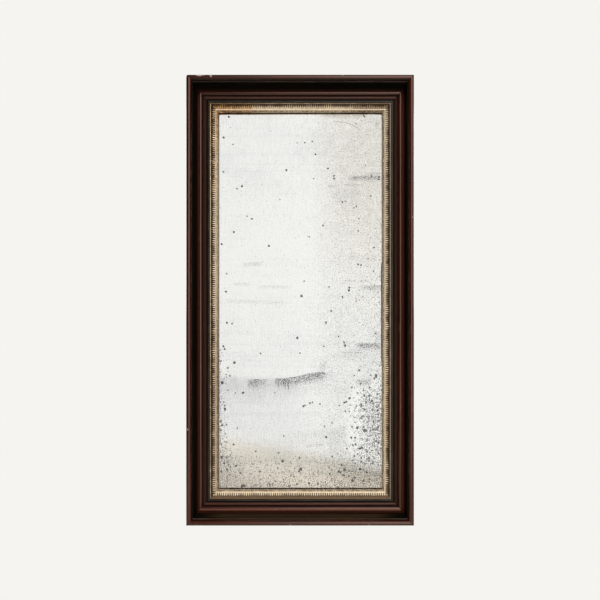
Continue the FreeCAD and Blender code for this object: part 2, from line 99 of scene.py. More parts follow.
# Outlines of the mouldings, each point an inset and a depth in millimetres. A leg of two numbers is a corner,
# and one of four is an arc by way of its first point to its second.
BEAD_OUTLINE = ((0, 15), (0, 8), (8, 0, 16, 8), (16, 15))
COVE_OUTLINE = (
    (13, 15), (16, 15), (16, 11), (18.5, 11), (18.05, 25.25, 19.6, 38.5), (21.4, 43.6, 25.2, 45.8),
    (25.2, 52), (13, 52))
INNER_OUTLINE = (
    (25.2, 52), (25.2, 45.3), (32.4, 38, 39.6, 45.3), (39.6, 46.9), (40.5, 46.9), (40.5, 45.7),
    (45.5, 42.6, 50.5, 45.7), (50.5, 52))
STRIP_OUTLINE = (
    (50.5, 52), (50.5, 46.2), (54.6, 43.9, 59, 43.2), (60.8, 43.7, 61.7, 45.4), (61.7, 52))
SLIP_OUTLINE = (
    (61.7, 60), (61.7, 44.9), (64.2, 44.9), (64.6, 47.7), (69.2, 53.3, 75.8, 55.2),
    (78, 52.6, 80.2, 54.9), (80.6, 57), (81.6, 57), (83.6, 59.6, 84.3, 65), (83.9, 65.5), (78, 65.5),
    (78, 60))
# The longest step along an arc, on the plain mouldings and on the slip.
ARC_STEP, SLIP_ARC_STEP = 0.6 * MM, MM
# Insets on the slip: the end of its flank, the start and end of its ribs, where its back comes to the glass,
# and the start of its sight edge.
FLANK_END, RIB_START, RIB_END, BY_GLASS, SIGHT_EDGE = 61.8 * MM, 64.6 * MM, 77.4 * MM, 80 * MM, 81 * MM
# Depths on the slip: its fillet lies in front of the first, and its hidden back behind the second.
FILLET_DEPTH, BACK_DEPTH = 45.4 * MM, 62.6 * MM
# Relief that the finish reads on the slip's back by the glass, its flank, its fillet, the step beside that
# and its plain rest.
GLASS_RELIEF, FLANK_RELIEF, FILLET_RELIEF, STEP_RELIEF, PLAIN_RELIEF = -1.0, 0.3, 0.8, 0.05, 1.0
# How sharp the crests of the ribs are, and the shares of their length over which they start and end.
RIB_SHARPNESS, RIB_RISE, RIB_FALL = 1.35, 0.08, 0.25
# Share of their length from which the ribs look plain, on the stiles and on the rails.
STILE_PLAIN, RAIL_PLAIN = 0.78, 0.6
# How far the sight edge stands back on the rails, its run from a mitre to the full amount and its slope.
SET_BACK = {"top": 1.7 * MM, "bottom": 0.9 * MM}
SET_BACK_RUN, SET_BACK_SLOPE = 20 * MM, 2.6 * MM
# Radius of the worn outer corner at the top left, and of the others.
WORN_CORNER, PLAIN_CORNER = 12 * MM, 1.6 * MM
# Where a moulding's last rings of points stand, as shares of the worn radius from its end.
CORNER_SHARES = (0, 0.2, 0.3, 0.45, 0.7, 1)
# How far apart in their figure the four sides lie, so that they differ.
FIGURE_SHIFT = 3
# Heights over which a mask of the top rail rises. Below the middle they serve the bottom rail.
RAIL_START, RAIL_FULL = 0.6, 0.64
# Half of the soft line where masks of two halves of the frame meet.
MIDDLE = 10 * MM
# On the bake map: the share of each row that is filled, the height of all rows and a corner of the cut ends.
ROW_FILL, ROWS_HEIGHT, CUT_CORNER = 0.98, 0.96, (0.02, 0.965)
# Worn edges of the glass and the silvering, and how far the silvering lies behind its CAD solid's front.
GLASS_ARRIS, SILVER_ARRIS, SILVER_GAP = 0.4 * MM, 0.02 * MM, 0.05 * MM
# The moulding made for each CAD node: its name, outline and material slot.
MOULDINGS = {
    "outer_bead": ("rounded_bead", BEAD_OUTLINE, "mahogany"),
    "cove": ("black_cove", COVE_OUTLINE, "ebonised"),
    "inner_moulding": ("torus_and_astragal", INNER_OUTLINE, "mahogany"),
    "ebonised_strip": ("black_strip", STRIP_OUTLINE, "ebonised"),
    "gilt_slip": ("ribbed_slip", SLIP_OUTLINE, "gilt"),
}


# Settings that a user would change

Length = partial(FloatProperty, unit="LENGTH", precision=5)
Size = partial(Length, min=0)
Power = partial(FloatProperty, unit="POWER", min=0)
Colour = partial(FloatVectorProperty, subtype="COLOR", min=0, max=1)


class MirrorSizes(bpy.types.PropertyGroup):
    mitre_gap: Size(name="Mitre gap", description="Half of the open line at each mitre", default=0.12 * MM)
    arris: Size(
        name="Arris", description="How far the corners of the mouldings are worn round", default=0.35 * MM)
    wobble: Size(name="Wobble", description="How far the old mouldings stray from true", default=0.22 * MM)
    rib_pitch: Length(
        name="Rib pitch", description="Distance from rib to rib on the slip", default=6.8 * MM, min=2 * MM)
    rib_relief: Size(
        name="Rib relief", description="Height of the ribs over the grooves between them", default=2.1 * MM)
    rib_steps: IntProperty(name="Rib steps", description="Rows of points across each rib", default=6, min=4)


class MirrorColours(bpy.types.PropertyGroup):
    mahogany: Colour(
        name="Mahogany", description="Middle tone of the polished mahogany", default=tint(48, 17, 8))
    mahogany_dark: Colour(
        name="Dark mahogany", description="Dark figure of the mahogany", default=tint(25, 7, 3))
    ebonised: Colour(
        name="Ebonised wood", description="Black stain on the cove and the strip", default=tint(9, 7, 4))
    leaf: Colour(name="Leaf", description="Pale worn gold leaf of the slip", default=tint(206, 188, 160))
    bole: Colour(name="Bole", description="Orange-brown ground under the leaf", default=tint(158, 108, 58))
    # grime and painted shade in the grooves between the ribs
    slip_dirt: Colour(
        name="Slip dirt", description="Dirt in the grooves between the ribs", default=tint(46, 29, 12))
    silver: Colour(
        name="Silvering", description="The clean part of the old silvering", default=tint(254, 255, 255))
    # also the colour of the painted shadow along the right edge of the plate
    foxing: Colour(name="Foxing", description="Spots where the silvering is lost", default=tint(62, 60, 58))
    softwood: Colour(
        name="Softwood", description="Aged softwood of the rails and boards", default=tint(158, 118, 76))
    brass: Colour(
        name="Brass", description="Tarnished brass of the hangers and rings", default=tint(176, 142, 82))
    background: Colour(
        name="Background", description="Pale ground behind the mirror", default=tint(245, 244, 240))
    floor: Colour(name="Floor", description="Plain pale floor", default=tint(200, 193, 180))


class StageSettings(bpy.types.PropertyGroup):
    camera_distance: Length(
        name="Camera distance", description="From the front of the frame to the camera", default=1.1, min=0.1)
    camera_side: Length(
        name="Camera side", description="How far right of the middle the camera stands", default=0.0234)
    camera_height: Length(
        name="Camera height", description="Height of the camera over the mirror's middle", default=-0.049)
    focal_pixels: FloatProperty(
        name="Focal length in pixels", description="Focal length in pixels of a square picture 600 wide",
        default=365.2, min=10)
    shift_right: FloatProperty(
        name="Shift right", description="Pixels that the picture's middle lies right of the lens's",
        default=-7.8)
    shift_up: FloatProperty(
        name="Shift up", description="Pixels that the picture's middle lies above the lens's", default=16.4)
    floor_height: Length(
        name="Floor height", description="Height of the floor from the middle of the mirror", default=-1.6)
    key_power: Power(name="Key lamp", description="Power of the large lamp at the front left", default=105)
    fill_power: Power(name="Fill lamp", description="Power of the large lamp at the front right", default=42)
    low_power: Power(
        name="Low lamp", description="Power of the small lamp that stands for light off the floor", default=9)
    floor_power: Power(
        name="Floor lamp", description="Power of the lamp over the front of the floor", default=56)
    back_power: Power(name="Back lamps", description="Power of each lamp behind the mirror", default=40)
    window_level: FloatProperty(
        name="Window level", description="Brightness of the window that polished surfaces reflect",
        default=2.8, min=0)
    ambient: FloatProperty(
        name="Ambient light", description="Level of the soft light from all round", default=0.22, min=0)


# Shader maths


class Wire:
    """A socket in a node tree. Python's operators on it add the Math nodes that work them out."""

    def __init__(self, nodes, socket):
        self.nodes = nodes
        self.socket = socket

    def __add__(self, other):
        return self.nodes.math("ADD", self, other)

    __radd__ = __add__

    def __sub__(self, other):
        return self.nodes.math("SUBTRACT", self, other)

    def __rsub__(self, other):
        return self.nodes.math("SUBTRACT", other, self)

    def __mul__(self, other):
        return self.nodes.math("MULTIPLY", self, other)

    __rmul__ = __mul__

    def __truediv__(self, other):
        return self.nodes.math("DIVIDE", self, other)

    def __abs__(self):
        return self.nodes.math("ABSOLUTE", self)

    def __or__(self, other):
        """The larger of the two, which joins two masks."""
        return self.nodes.math("MAXIMUM", self, other)

    def __and__(self, other):
        """The smaller of the two, where two masks overlap."""
        return self.nodes.math("MINIMUM", self, other)

    def wave(self):
        """A sine of the value, from 0 to 1."""
        return self.nodes.math("SINE", self) * 0.5 + 0.5

    def rise(self, low, high):
        """0 below low and 1 above high, with a smooth rise between. It falls where low is over high."""
        if low > high:
            return 1 - self.rise(high, low)
        return self.nodes.add(
            "ShaderNodeMapRange", {"interpolation_type": "SMOOTHSTEP"},
            {"Value": self, "From Min": low, "From Max": high})

    def band(self, start, full, fading, end):
        """A mask that is 1 from full to fading and 0 outside start to end, all in millimetres."""
        return self.rise(start * MM, full * MM) * self.rise(end * MM, fading * MM)

    def coat(self, share, red, green, blue):
        """This colour with another over it, which is given in screen values."""
        return self.nodes.mix(share, self, tint(red, green, blue))


class Nodes:
    """Adds nodes to one tree. Three numbers or Wires in brackets stand for a vector."""

    def __init__(self, tree):
        self.tree = tree
        tree.nodes.clear()

    def add(self, kind, settings=None, sockets=None, output=0):
        """A node with its settings made first, then its sockets. Returns one output as a Wire."""
        node = self.tree.nodes.new(kind)
        for name, value in (settings or {}).items():
            if name == "stops":
                self.set_stops(node.color_ramp, value)
            else:
                setattr(node, name, value)
        for name, value in (sockets or {}).items():
            socket = node.inputs[name]
            if isinstance(value, tuple) and any(isinstance(part, Wire) for part in value):
                value = self.vector(*value)
            if isinstance(value, Wire):
                self.tree.links.new(value.socket, socket)
            elif socket.type == "RGBA":
                socket.default_value = (*value, 1)
            else:
                socket.default_value = value
        return Wire(self, node.outputs[output]) if len(node.outputs) else node

    @staticmethod
    def set_stops(ramp, stops):
        while len(ramp.elements) < len(stops):
            ramp.elements.new(1)
        for element, (position, level) in zip(ramp.elements, stops):
            element.position = position
            element.color = (level, level, level, 1)

    def math(self, operation, first, second=None):
        sockets = {0: first} if second is None else {0: first, 1: second}
        return self.add("ShaderNodeMath", {"operation": operation}, sockets)

    def vector(self, x, y, z):
        return self.add("ShaderNodeCombineXYZ", None, {0: x, 1: y, 2: z})

    def parts(self, vector):
        """The three numbers of a vector, each as a Wire."""
        split = self.add("ShaderNodeSeparateXYZ", None, {0: vector}).socket.node
        return [Wire(self, split.outputs[axis]) for axis in range(3)]

    def mix(self, share, first, second):
        """A colour between two others."""
        return self.add("ShaderNodeMix", {"data_type": "RGBA"}, {0: share, 6: first, 7: second}, output=2)

    def noise(self, vector, scale=1, detail=3, roughness=0.5, distortion=0):
        return self.add(
            "ShaderNodeTexNoise", None,
            {"Vector": vector, "Scale": scale, "Detail": detail, "Roughness": roughness,
             "Distortion": distortion})

    def cells(self, vector, scale=1, dimensions="3D"):
        """Distance from the middle of the nearest cell, and a vector of that cell's three random numbers."""
        distance = self.add(
            "ShaderNodeTexVoronoi", {"voronoi_dimensions": dimensions}, {"Vector": vector, "Scale": scale},
            output="Distance")
        return distance, Wire(self, distance.socket.node.outputs["Color"])

    def distance(self, first, second):
        return self.add(
            "ShaderNodeVectorMath", {"operation": "DISTANCE"}, {0: first, 1: second}, output="Value")

    def bump(self, height, distance, strength=1):
        return self.add(
            "ShaderNodeBump", None, {"Height": height, "Distance": distance, "Strength": strength})


class Finish(Nodes):
    """One material, made of nodes that end in a Principled shader."""

    def __init__(self, name):
        self.material = bpy.data.materials.new(name)
        self.material.use_nodes = True
        super().__init__(self.material.node_tree)

    def moulding_place(self):
        """Place along a moulding, across it and in its relief, as the sweep writes them on the mesh."""
        return self.parts(self.add("ShaderNodeAttribute", {"attribute_name": PLACE}, output="Vector"))

    def place(self):
        """Place in the row's frame, in metres."""
        return self.add("ShaderNodeTexCoord", output="Object")

    def surface(self, **sockets):
        """Ends the finish. A name such as base_color stands for the socket Base Color."""
        named = {}
        for name, value in sockets.items():
            named[name.replace("_", " ").title().replace("Ior", "IOR")] = value
        shader = self.add("ShaderNodeBsdfPrincipled", None, named)
        self.add("ShaderNodeOutputMaterial", None, {"Surface": shader})
        return self.material


# Finishes of the mouldings. A function that dress_sides calls has the name of its material.


def inset_and_stile(x, z):
    """How far in from the outer edge a point lies, and a mask that is 1 on the stiles and 0 on the rails."""
    from_side = HALF_WIDTH - abs(x)
    from_end = HALF_HEIGHT - abs(z)
    return from_side & from_end, (from_end - from_side).rise(-0.3 * MM, 0.3 * MM)


def near_spots(finish, place, spots):
    """Distance from the nearest of the spots, as a share of its radius."""
    nearest = None
    for spot_x, spot_z, radius in spots:
        far = finish.distance(place, (spot_x * MM, spot_z * MM, 0)) / (radius * MM)
        nearest = far if nearest is None else nearest & far
    return nearest


def mahogany_figure(finish, colours, along, across, deep):
    """The figure, fibre and pores of mahogany, and the colour that they make."""
    figure = finish.noise((along * 6, across * 90, deep * 90), 1, 4, 0.55, 0.4)
    fibre = finish.noise((along * 55, across * 1500, deep * 1500))
    pores = finish.noise((along * 260, across * 5200, deep * 5200), 1, 1).rise(0.62, 0.7)
    wood = finish.mix(figure.rise(0.3, 0.72), colours.mahogany_dark, colours.mahogany)
    wood = wood.coat(fibre.rise(0.35, 0.75) * 0.3, 74, 27, 13)
    wood = wood.coat(pores * 0.6, 12, 4, 2)
    return wood, fibre, pores


# Chips along the outer arris: x, z and radius in millimetres.
CHIPS = [
    (-310, 679, 4), (-304, 678, 4), (-298, 678, 4), (-291, 679, 3), (-271, 678, 3), (-268, 675, 3),
    (-339, -390, 3), (130, 680, 3), (339, 250, 2), (-30, -678, 3), (208, -679, 3),
]


def polished_mahogany(colours):
    """Mahogany of bead, torus and astragal: grime and painted shade in gaps, painted light on the torus,
    chipped outer arris.
    """
    finish = Finish("polished_mahogany")
    along, across, relief = finish.moulding_place()
    place = finish.place()
    x, _, z = finish.parts(place)
    inset, stile = inset_and_stile(x, z)
    top_rail = z.rise(RAIL_START, RAIL_FULL) * (1 - stile)
    bottom_rail = z.rise(-RAIL_START, -RAIL_FULL) * (1 - stile)
    wood, fibre, pores = mahogany_figure(finish, colours, along, across, 0)
    # polish rubbed pale on the crests; painted light on the shoulder of the torus and on the lit face of the
    # bottom rail
    patches = finish.noise((along * 9, across * 40, 3.1), 1, 5, 0.65)
    worn = patches.rise(0.56, 0.72) * relief.rise(0.6, 0.95)
    wood = wood.coat(worn * 0.35, 84, 42, 29)
    # painted light: the outer shoulder of the torus is lightened as if lit
    wood = wood.coat(inset.band(24.8, 25.6, 27.5, 30.5) * 0.6, 92, 52, 38)
    # painted highlight on the torus of the bottom rail, where light from above falls
    wood = wood.coat(bottom_rail * inset.band(22, 26, 31, 35) * 0.7, 112, 74, 62)
    # grime and painted shade on the mouldings' sides, over the astragal (more on the stiles) and in the gap
    # beside it
    astragal = inset.rise(39.8 * MM, 40.6 * MM)
    # painted shade: low relief, the gap and the astragal on the stiles are darkened where shade falls
    dirt_and_shade = relief.rise(0.5, 0) * 0.5 | astragal * (stile * 0.35 + 0.45)
    dirt_and_shade = dirt_and_shade | inset.band(37.8, 39, 40.4, 41.2) * 0.95
    # painted shade on the bead's inner flank, darkest on the top rail, and on the bottom bead's outer edge
    dirt_and_shade = dirt_and_shade | inset.band(11.8, 13, 16.4, 17) * (top_rail * 0.8 + 0.2)
    dirt_and_shade = dirt_and_shade | bottom_rail * inset.rise(11 * MM, 6 * MM) * 0.7
    wood = wood.coat(dirt_and_shade, 14, 5, 3)
    ragged = finish.noise(place, 520, 3, 0.7)
    chip = (near_spots(finish, finish.vector(x, z, 0), CHIPS) + (ragged - 0.5) * 1.6).rise(1.05, 0.6)
    wood = wood.coat(chip * 0.8, 146, 132, 124)
    roughness = 0.18 + patches * 0.08 + worn * 0.08 + dirt_and_shade * 0.35 + chip * 0.4
    return finish.surface(
        base_color=wood,
        roughness=roughness + astragal * (stile * 0.25 + 0.12),
        ior=1.6,
        specular_ior_level=0.5,
        specular_tint=(1, 0.72, 0.62),
        normal=finish.bump(fibre * 0.35 - pores * 0.4 - chip * 3 + patches * 0.5, 0.15 * MM, 0.5))


def ebonised_ground(finish, colours, along, across):
    """Black stained wood: its colour, its fibre, its dull bloom and where it is rubbed."""
    fibre = finish.noise((along * 40, across * 1300, 0))
    bloom = finish.noise((along * 7, across * 60, 5.5), 1, 5, 0.6)
    rubbed = finish.noise((along * 25, across * 120, 1.5), 1, 4, 0.6).rise(0.42, 0.66)
    wood = finish.mix(bloom.rise(0.4, 0.75) * 0.5, colours.ebonised, tint(22, 17, 11))
    wood = wood.coat(fibre.rise(0.6, 0.8) * 0.3, 5, 4, 3)
    return wood, fibre, bloom, rubbed


def ebonised_strip(colours):
    """The stained strip, rubbed along its crest."""
    finish = Finish("ebonised_strip")
    along, across, relief = finish.moulding_place()
    wood, fibre, bloom, rubbed = ebonised_ground(finish, colours, along, across)
    crest = relief.rise(0.9, 1)
    return finish.surface(
        base_color=wood.coat(crest * (rubbed * 0.4 + 0.2), 56, 50, 44),
        roughness=0.34 + bloom * 0.14 - crest * 0.08,
        specular_ior_level=0.2,
        normal=finish.bump(fibre * 0.4 + bloom, 0.12 * MM, 0.5))


def ebonised_cove(colours):
    """The stained cove, with a painted highlight on its lip on the rails, dust and painted light on the
    bottom rail's lower wall, and red wood at its foot.
    """
    finish = Finish("ebonised_cove")
    along, across, relief = finish.moulding_place()
    x, _, z = finish.parts(finish.place())
    _, stile = inset_and_stile(x, z)
    wood, fibre, bloom, rubbed = ebonised_ground(finish, colours, along, across)
    # painted highlight: a thin pale line along the lip of the cove on the rails
    lip_highlight = relief.rise(0.97, 1) * (1 - stile)
    wood = wood.coat(lip_highlight * (rubbed * 0.5 + 0.5), 72, 60, 53)
    # dust and painted light on the upward-facing lower wall of the bottom rail's cove
    dust_and_light = z.rise(-RAIL_START, -RAIL_FULL) * (1 - stile) * abs(x).rise(0.31, 0.22)
    wood = wood.coat(dust_and_light * relief.rise(0.3, 0.5) * (bloom * 0.8 + 0.2), 58, 44, 28)
    # the foot of the wall is red, and lit on the right stile and the bottom rail
    foot = relief.rise(0.34, 0.2)
    lit = stile * x.rise(-MIDDLE, MIDDLE) | (1 - stile) * z.rise(MIDDLE, -MIDDLE)
    red = finish.mix(lit, tint(22, 8, 4), finish.mix(bloom, tint(34, 12, 6), tint(62, 26, 14)))
    wood = finish.mix(foot * 0.92, wood, red)
    return finish.surface(
        base_color=wood,
        roughness=0.5 + bloom * 0.14 - foot * 0.12 - lip_highlight * 0.15,
        specular_ior_level=0.06,
        normal=finish.bump(fibre * 0.4 + bloom, 0.12 * MM, 0.5))


def worn_gilding(colours):
    """Pale worn gilding: grime and painted shade between the ribs, painted highlights, brown wear along the
    sight edge and bole at one corner.
    """
    finish = Finish("worn_gilding")
    along, across, relief = finish.moulding_place()
    place = finish.place()
    x, _, z = finish.parts(place)
    inset, stile = inset_and_stile(x, z)
    left, right = stile * x.rise(MIDDLE, -MIDDLE), stile * x.rise(-MIDDLE, MIDDLE)
    upper, lower = (1 - stile) * z.rise(-MIDDLE, MIDDLE), (1 - stile) * z.rise(MIDDLE, -MIDDLE)
    clouds = finish.noise(place, 26, 6, 0.62)
    blotches = finish.noise(place, 120, 4, 0.65)
    flecks = finish.noise(place, 250, 3, 0.7)
    fine = finish.noise(place, 420, 4, 0.6)
    corner = x.rise(-0.08, -0.2) * z.rise(0.4, 0.6) * (1 - stile * 0.3)
    # the leaf, with painted shade making it darker on the stiles, and the ground where it is rubbed through
    leaf = finish.mix(stile * 0.8, colours.leaf, tint(166, 148, 122))
    leaf = leaf.coat(blotches.rise(0.35, 0.7) * 0.6, 158, 136, 110)
    foot = z.rise(-0.57, -0.6)
    rubbed = (clouds * 0.5 + blotches * 0.4 + fine * 0.25 + corner * 0.2 + foot * 0.04).rise(0.58, 0.78)
    gold = finish.mix(rubbed * 0.8, leaf, finish.mix(corner, tint(116, 90, 60), colours.bole))
    # the sight edge is browner
    sight = inset.rise(81.2 * MM, 82 * MM) * (1 - stile * 0.6 - upper * 0.6)
    gold = gold.coat(sight * (blotches.rise(0.3, 0.6) * 0.5 + 0.2), 124, 98, 68)
    # duller stretches: the ends of the top, the lower half of the left and the whole of the bottom
    dull = upper * (x.rise(-0.12, -0.21) | x.rise(0.12, 0.2))
    dull = dull | left * (z.rise(0.1, -0.25) | z.rise(0.48, 0.6) * 0.5)
    gold = gold.coat((dull * 0.75 | lower * 0.2) * (clouds + 0.3), 94, 66, 40)
    gold = gold.coat(right * (z.rise(0.1, 0.4) * 0.4 + 0.15), 126, 114, 98)
    # dark and bright flecks, and a painted highlight on the narrow bead, which makes it brighter than the
    # ribs
    gold = gold.coat(flecks.rise(0.52, 0.68) * (0.55 - upper * 0.2), 84, 60, 36)
    gold = gold.coat(flecks.rise(0.47, 0.32) * 0.55, 240, 226, 200)
    gold = gold.coat(flecks.rise(0.52, 0.4) * corner * 0.6, 220, 170, 104)
    bead_highlight = inset.band(76.2, 77, 79.6, 80.4) * (0.7 - stile * 0.3)
    gold = gold.coat(bead_highlight * (1.2 - blotches * 0.7), 222, 204, 176)
    dots = finish.noise((along * 240, 2.5, 4.5), 1, 2).rise(0.44, 0.58)
    gold = gold.coat(inset.band(80.1, 80.7, 81.7, 82.3) * (dots * 0.7 + 0.05), 52, 34, 19)
    # grime and painted shade between the ribs (darker on the stiles), deepest at their outer ends but for the
    # bottom, where it lies nearer the bead
    inner = inset - stile * (2.4 * MM) - lower * (3.2 * MM) + upper * (2.6 * MM)
    groove = (inset - lower * (3 * MM)).rise(64 * MM, 64.6 * MM) * inner.rise(75.4 * MM, 70 * MM)
    dirt_and_shade = (relief - stile * 0.08 + (fine - 0.5) * 0.5 + (blotches - 0.5) * 0.6).rise(0.86, 0.42) * groove
    # painted highlight on the crests of the ribs
    crest = relief.rise(0.7, 0.95) * (1 - relief.rise(1.5, 1.6)) * groove
    gold = gold.coat(crest * (0.5 + stile * 0.2 - corner * 0.3) * (1 - dull * 0.4), 232, 214, 182)
    # grime and painted shade at the outer ends of the ribs, strongest on the bottom rail
    outer = inset.band(64, 64.6, 67, 69.6)
    amber = right * abs(z + 0.34).rise(0.14, 0.06) | left * abs(z - 0.42).rise(0.12, 0.05)
    gold = finish.mix(amber * groove * 0.4, gold, colours.bole)
    gold = gold.coat(outer * lower * 0.9, 88, 66, 46)
    # painted shade: the grooves are darker on the stiles
    dark = finish.mix(stile * 0.7, colours.slip_dirt, tint(18, 10, 5))
    gold = finish.mix(dirt_and_shade * (0.97 - lower * 0.15) | outer * (1 - lower) * 0.35, gold, dark)
    # the fillet at the outer edge, worn and with painted shade, and painted shade on the hidden back by the
    # glass
    # wear, with painted shade by side: lightest on the left, darkest on the bottom
    worn = (blotches.rise(0.35, 0.6) * 0.4 + 0.5) * (1 - left * 0.75) | lower * 0.95
    gold = gold.coat(inset.rise(64.8 * MM, 64.2 * MM) * worn, 98, 78, 56)
    # painted shade where the top rail's fillet meets the strip
    gold = gold.coat(upper * inset.rise(63.6 * MM, 62.6 * MM) * 0.85, 26, 20, 15)
    # painted shade: the slip's back by the glass is darkened, less on the stiles
    painted_shade_by_glass = relief.rise(-0.3, -0.8) * (1 - stile * 0.6)
    return finish.surface(
        base_color=gold.coat(painted_shade_by_glass, 14, 11, 8),
        metallic=0.25 * (1 - (dirt_and_shade | painted_shade_by_glass)) * (1 - rubbed * 0.7),
        roughness=0.36 + rubbed * 0.25 + dirt_and_shade * 0.3,
        specular_ior_level=0.3,
        normal=finish.bump(fine + clouds * 2, 0.12 * MM, 0.5))


# Finishes of the plate

# Grey smears in the silvering, in millimetres: left, right, top, foot, rise per length, and depth of tone.
SMEARS = [
    (176, 229, -250, -276, 0.0, 0.50), (174, 262, -134, -160, 0.0, 0.68), (118, 216, -161, -170, 0.0, 0.4),
    (146, 262, 401, 381, 0.0, 0.6), (204, 262, 411, 398, 0.0, 0.32), (85, 130, 372, 361, 0.0, 0.26),
    (130, 197, 376, 363, 0.0, 0.24), (98, 198, 362, 288, 0.02, 0.13), (-190, -120, 124, 108, 0.08, 0.24),
    (-219, -161, 59, 47, -0.02, 0.18), (-142, -24, 50, 38, -0.02, 0.15), (-251, -33, 3, -12, -0.03, 0.17),
    (137, 181, 68, 60, 0.0, 0.34), (184, 227, 67, 58, 0.0, 0.24), (194, 262, 51, 32, 0.0, 0.52),
    (82, 149, -406, -488, 0.1, 0.20), (-34, 94, -412, -462, 0.1, 0.12), (8, 82, -457, -468, 0.05, 0.24),
    (161, 229, -364, -380, 0.08, 0.26), (95, 229, -169, -190, 0.0, 0.12), (142, 255, 148, 120, 0.0, 0.13),
    (238, 262, 578, 555, 0.65, 0.20), (226, 262, -95, -134, 0.0, 0.14),
    (60, 82, -196, -232, 0.5, 0.26), (-256, -196, -240, -300, 0.0, 0.16), (20, 110, -232, -262, 0.4, 0.16),
]
# The main smear is a wedge. Each entry is a place along it, the height of its crisp top there, both in
# millimetres, and its depth of tone.
WEDGE = [
    (-174, -254, 0.0), (-164, -252, 0.6), (-146, -250, 0.72), (-116, -249, 0.62), (-106, -249, 0.16),
    (-84, -249, 0.18), (-76, -247, 0.95), (-40, -246, 1.0), (-28, -243, 0.8), (0, -238, 0.78),
    (36, -229, 0.9), (66, -226, 0.95), (78, -227, 0.55), (90, -231, 0.0),
]
# The colour ramp that holds those heights runs from WEDGE_LOWEST over WEDGE_REACH.
WEDGE_LOWEST, WEDGE_REACH = -260, 40
# Single spots where the silvering is gone: x, z and radius in millimetres.
SPOTS = [
    (-229, 589, 3.1), (-246, 523, 3.4), (-216, 501, 2.5), (-246, 413, 3.1), (-187, 368, 3.4),
    (-203, 359, 2.8), (-171, 272, 2.5), (-155, 263, 3.4), (-213, 220, 3.4), (-45, 419, 3.4),
    (14, 507, 2.8), (-11, 506, 2.2), (38, 511, 2.8), (48, 469, 3.1), (88, 424, 2.8), (42, 391, 2.5),
    (-66, 325, 2.2), (178, 569, 2.5), (202, 594, 3.1), (206, 589, 2.5), (208, 434, 2.2), (134, 317, 2.8),
    (145, 319, 2.5), (179, 303, 2.8), (170, 298, 2.2), (187, 264, 2.5), (185, 224, 3.1), (224, 336, 2.5),
    (72, 242, 2.5), (29, 205, 2.5), (107, 400, 3.1), (108, 392, 3.1), (251, 397, 3.4), (251, 389, 3.4),
    (227, 400, 3.4), (261, 368, 2.5), (-252, 182, 3.1), (-101, 176, 3.1), (235, 171, 3.1),
    (216, 135, 2.8), (184, 117, 3.1), (194, 115, 2.5), (234, 95, 2.5), (11, 64, 2.5), (91, 45, 3.1),
    (-238, 31, 3.4), (-235, 88, 2.8), (3, 16, 4.0), (134, 13, 3.4), (156, 43, 3.4), (155, 35, 3.7),
    (200, 13, 2.5), (178, -1, 2.5), (98, -32, 3.4), (82, -69, 4.0), (-235, -70, 3.4), (-218, -72, 2.5),
    (-10, -118, 4.3), (122, -113, 3.1), (142, -142, 4.0), (140, -133, 3.1), (75, -145, 2.8),
    (-247, -145, 3.4), (-242, -153, 3.4), (-128, -167, 3.1), (-2, -166, 2.8), (-211, -197, 4.0),
    (240, -102, 2.5), (-232, -214, 2.8), (-238, -235, 2.8), (-226, -240, 2.5), (-250, -261, 4.7),
    (-232, -285, 2.5), (-184, -293, 3.7), (-208, -294, 2.5), (-242, -334, 3.4), (-242, -345, 4.3),
    (-251, -397, 3.1), (-255, -413, 3.1), (-202, -406, 2.5), (-82, -293, 2.2), (10, -336, 3.7),
    (15, -333, 2.8), (30, -326, 3.4), (38, -324, 2.5), (62, -329, 2.5), (187, -221, 3.4),
    (241, -238, 4.3), (242, -243, 3.1), (224, -237, 2.5), (171, -238, 2.5), (157, -310, 4.3),
    (140, -325, 3.1), (146, -322, 3.4), (125, -334, 2.8), (144, -352, 3.1), (194, -329, 3.4),
    (195, -336, 3.4), (178, -336, 2.8), (210, -323, 3.4), (101, -389, 2.8), (77, -400, 2.8),
    (182, -405, 5.0), (203, -414, 4.0), (210, -415, 4.3), (162, -436, 3.7), (168, -461, 3.7),
    (176, -458, 3.4), (189, -472, 4.0), (196, -469, 4.3), (82, -435, 3.7), (-214, -459, 3.1),
    (-253, -457, 3.4), (-53, -432, 2.5), (-70, -485, 2.8), (-144, -480, 2.5), (-3, -502, 3.4),
    (101, -497, 3.4), (149, -472, 3.1), (-57, -512, 4.7), (1, -537, 5.0), (-5, -544, 3.1),
    (131, -525, 3.1), (141, -539, 4.3), (122, -545, 4.0), (94, -552, 3.4), (139, -557, 3.4),
    (211, -547, 3.7), (-205, -526, 4.0), (-230, -523, 3.1), (-192, -550, 3.1), (-253, -544, 3.7),
    (-130, -545, 2.8), (-186, -591, 4.7), (-179, -590, 3.7), (-251, -499, 4.0), (-21, -561, 2.8),
    (27, -582, 3.7), (56, -584, 3.4), (-11, -585, 3.1),
]
# A stained patch, written as the smears are, and the middle and radius of a curved scratch.
STAIN = (60, 215, 605, 582, 0, 0.9)
SCRATCH_CENTRE, SCRATCH_RADIUS = (118.2 * MM, 463.6 * MM, 0), 109.7 * MM


def tapered_patch(x, z, patch):
    """A mask for one smear: crisp at its top, fading downward and to its ends."""
    left, right, top, foot, slope, tone = patch
    middle, half_length = (left + right) / 2 * MM, (right - left) / 2 * MM
    run = abs((x - middle) / half_length)
    drop = (top * MM + (x - middle) * slope - z) / ((top - foot) * MM)
    return run.rise(1.15, 0.55) * drop.rise(-0.15, 0.2) * drop.rise(1.2, 0.3) * tone


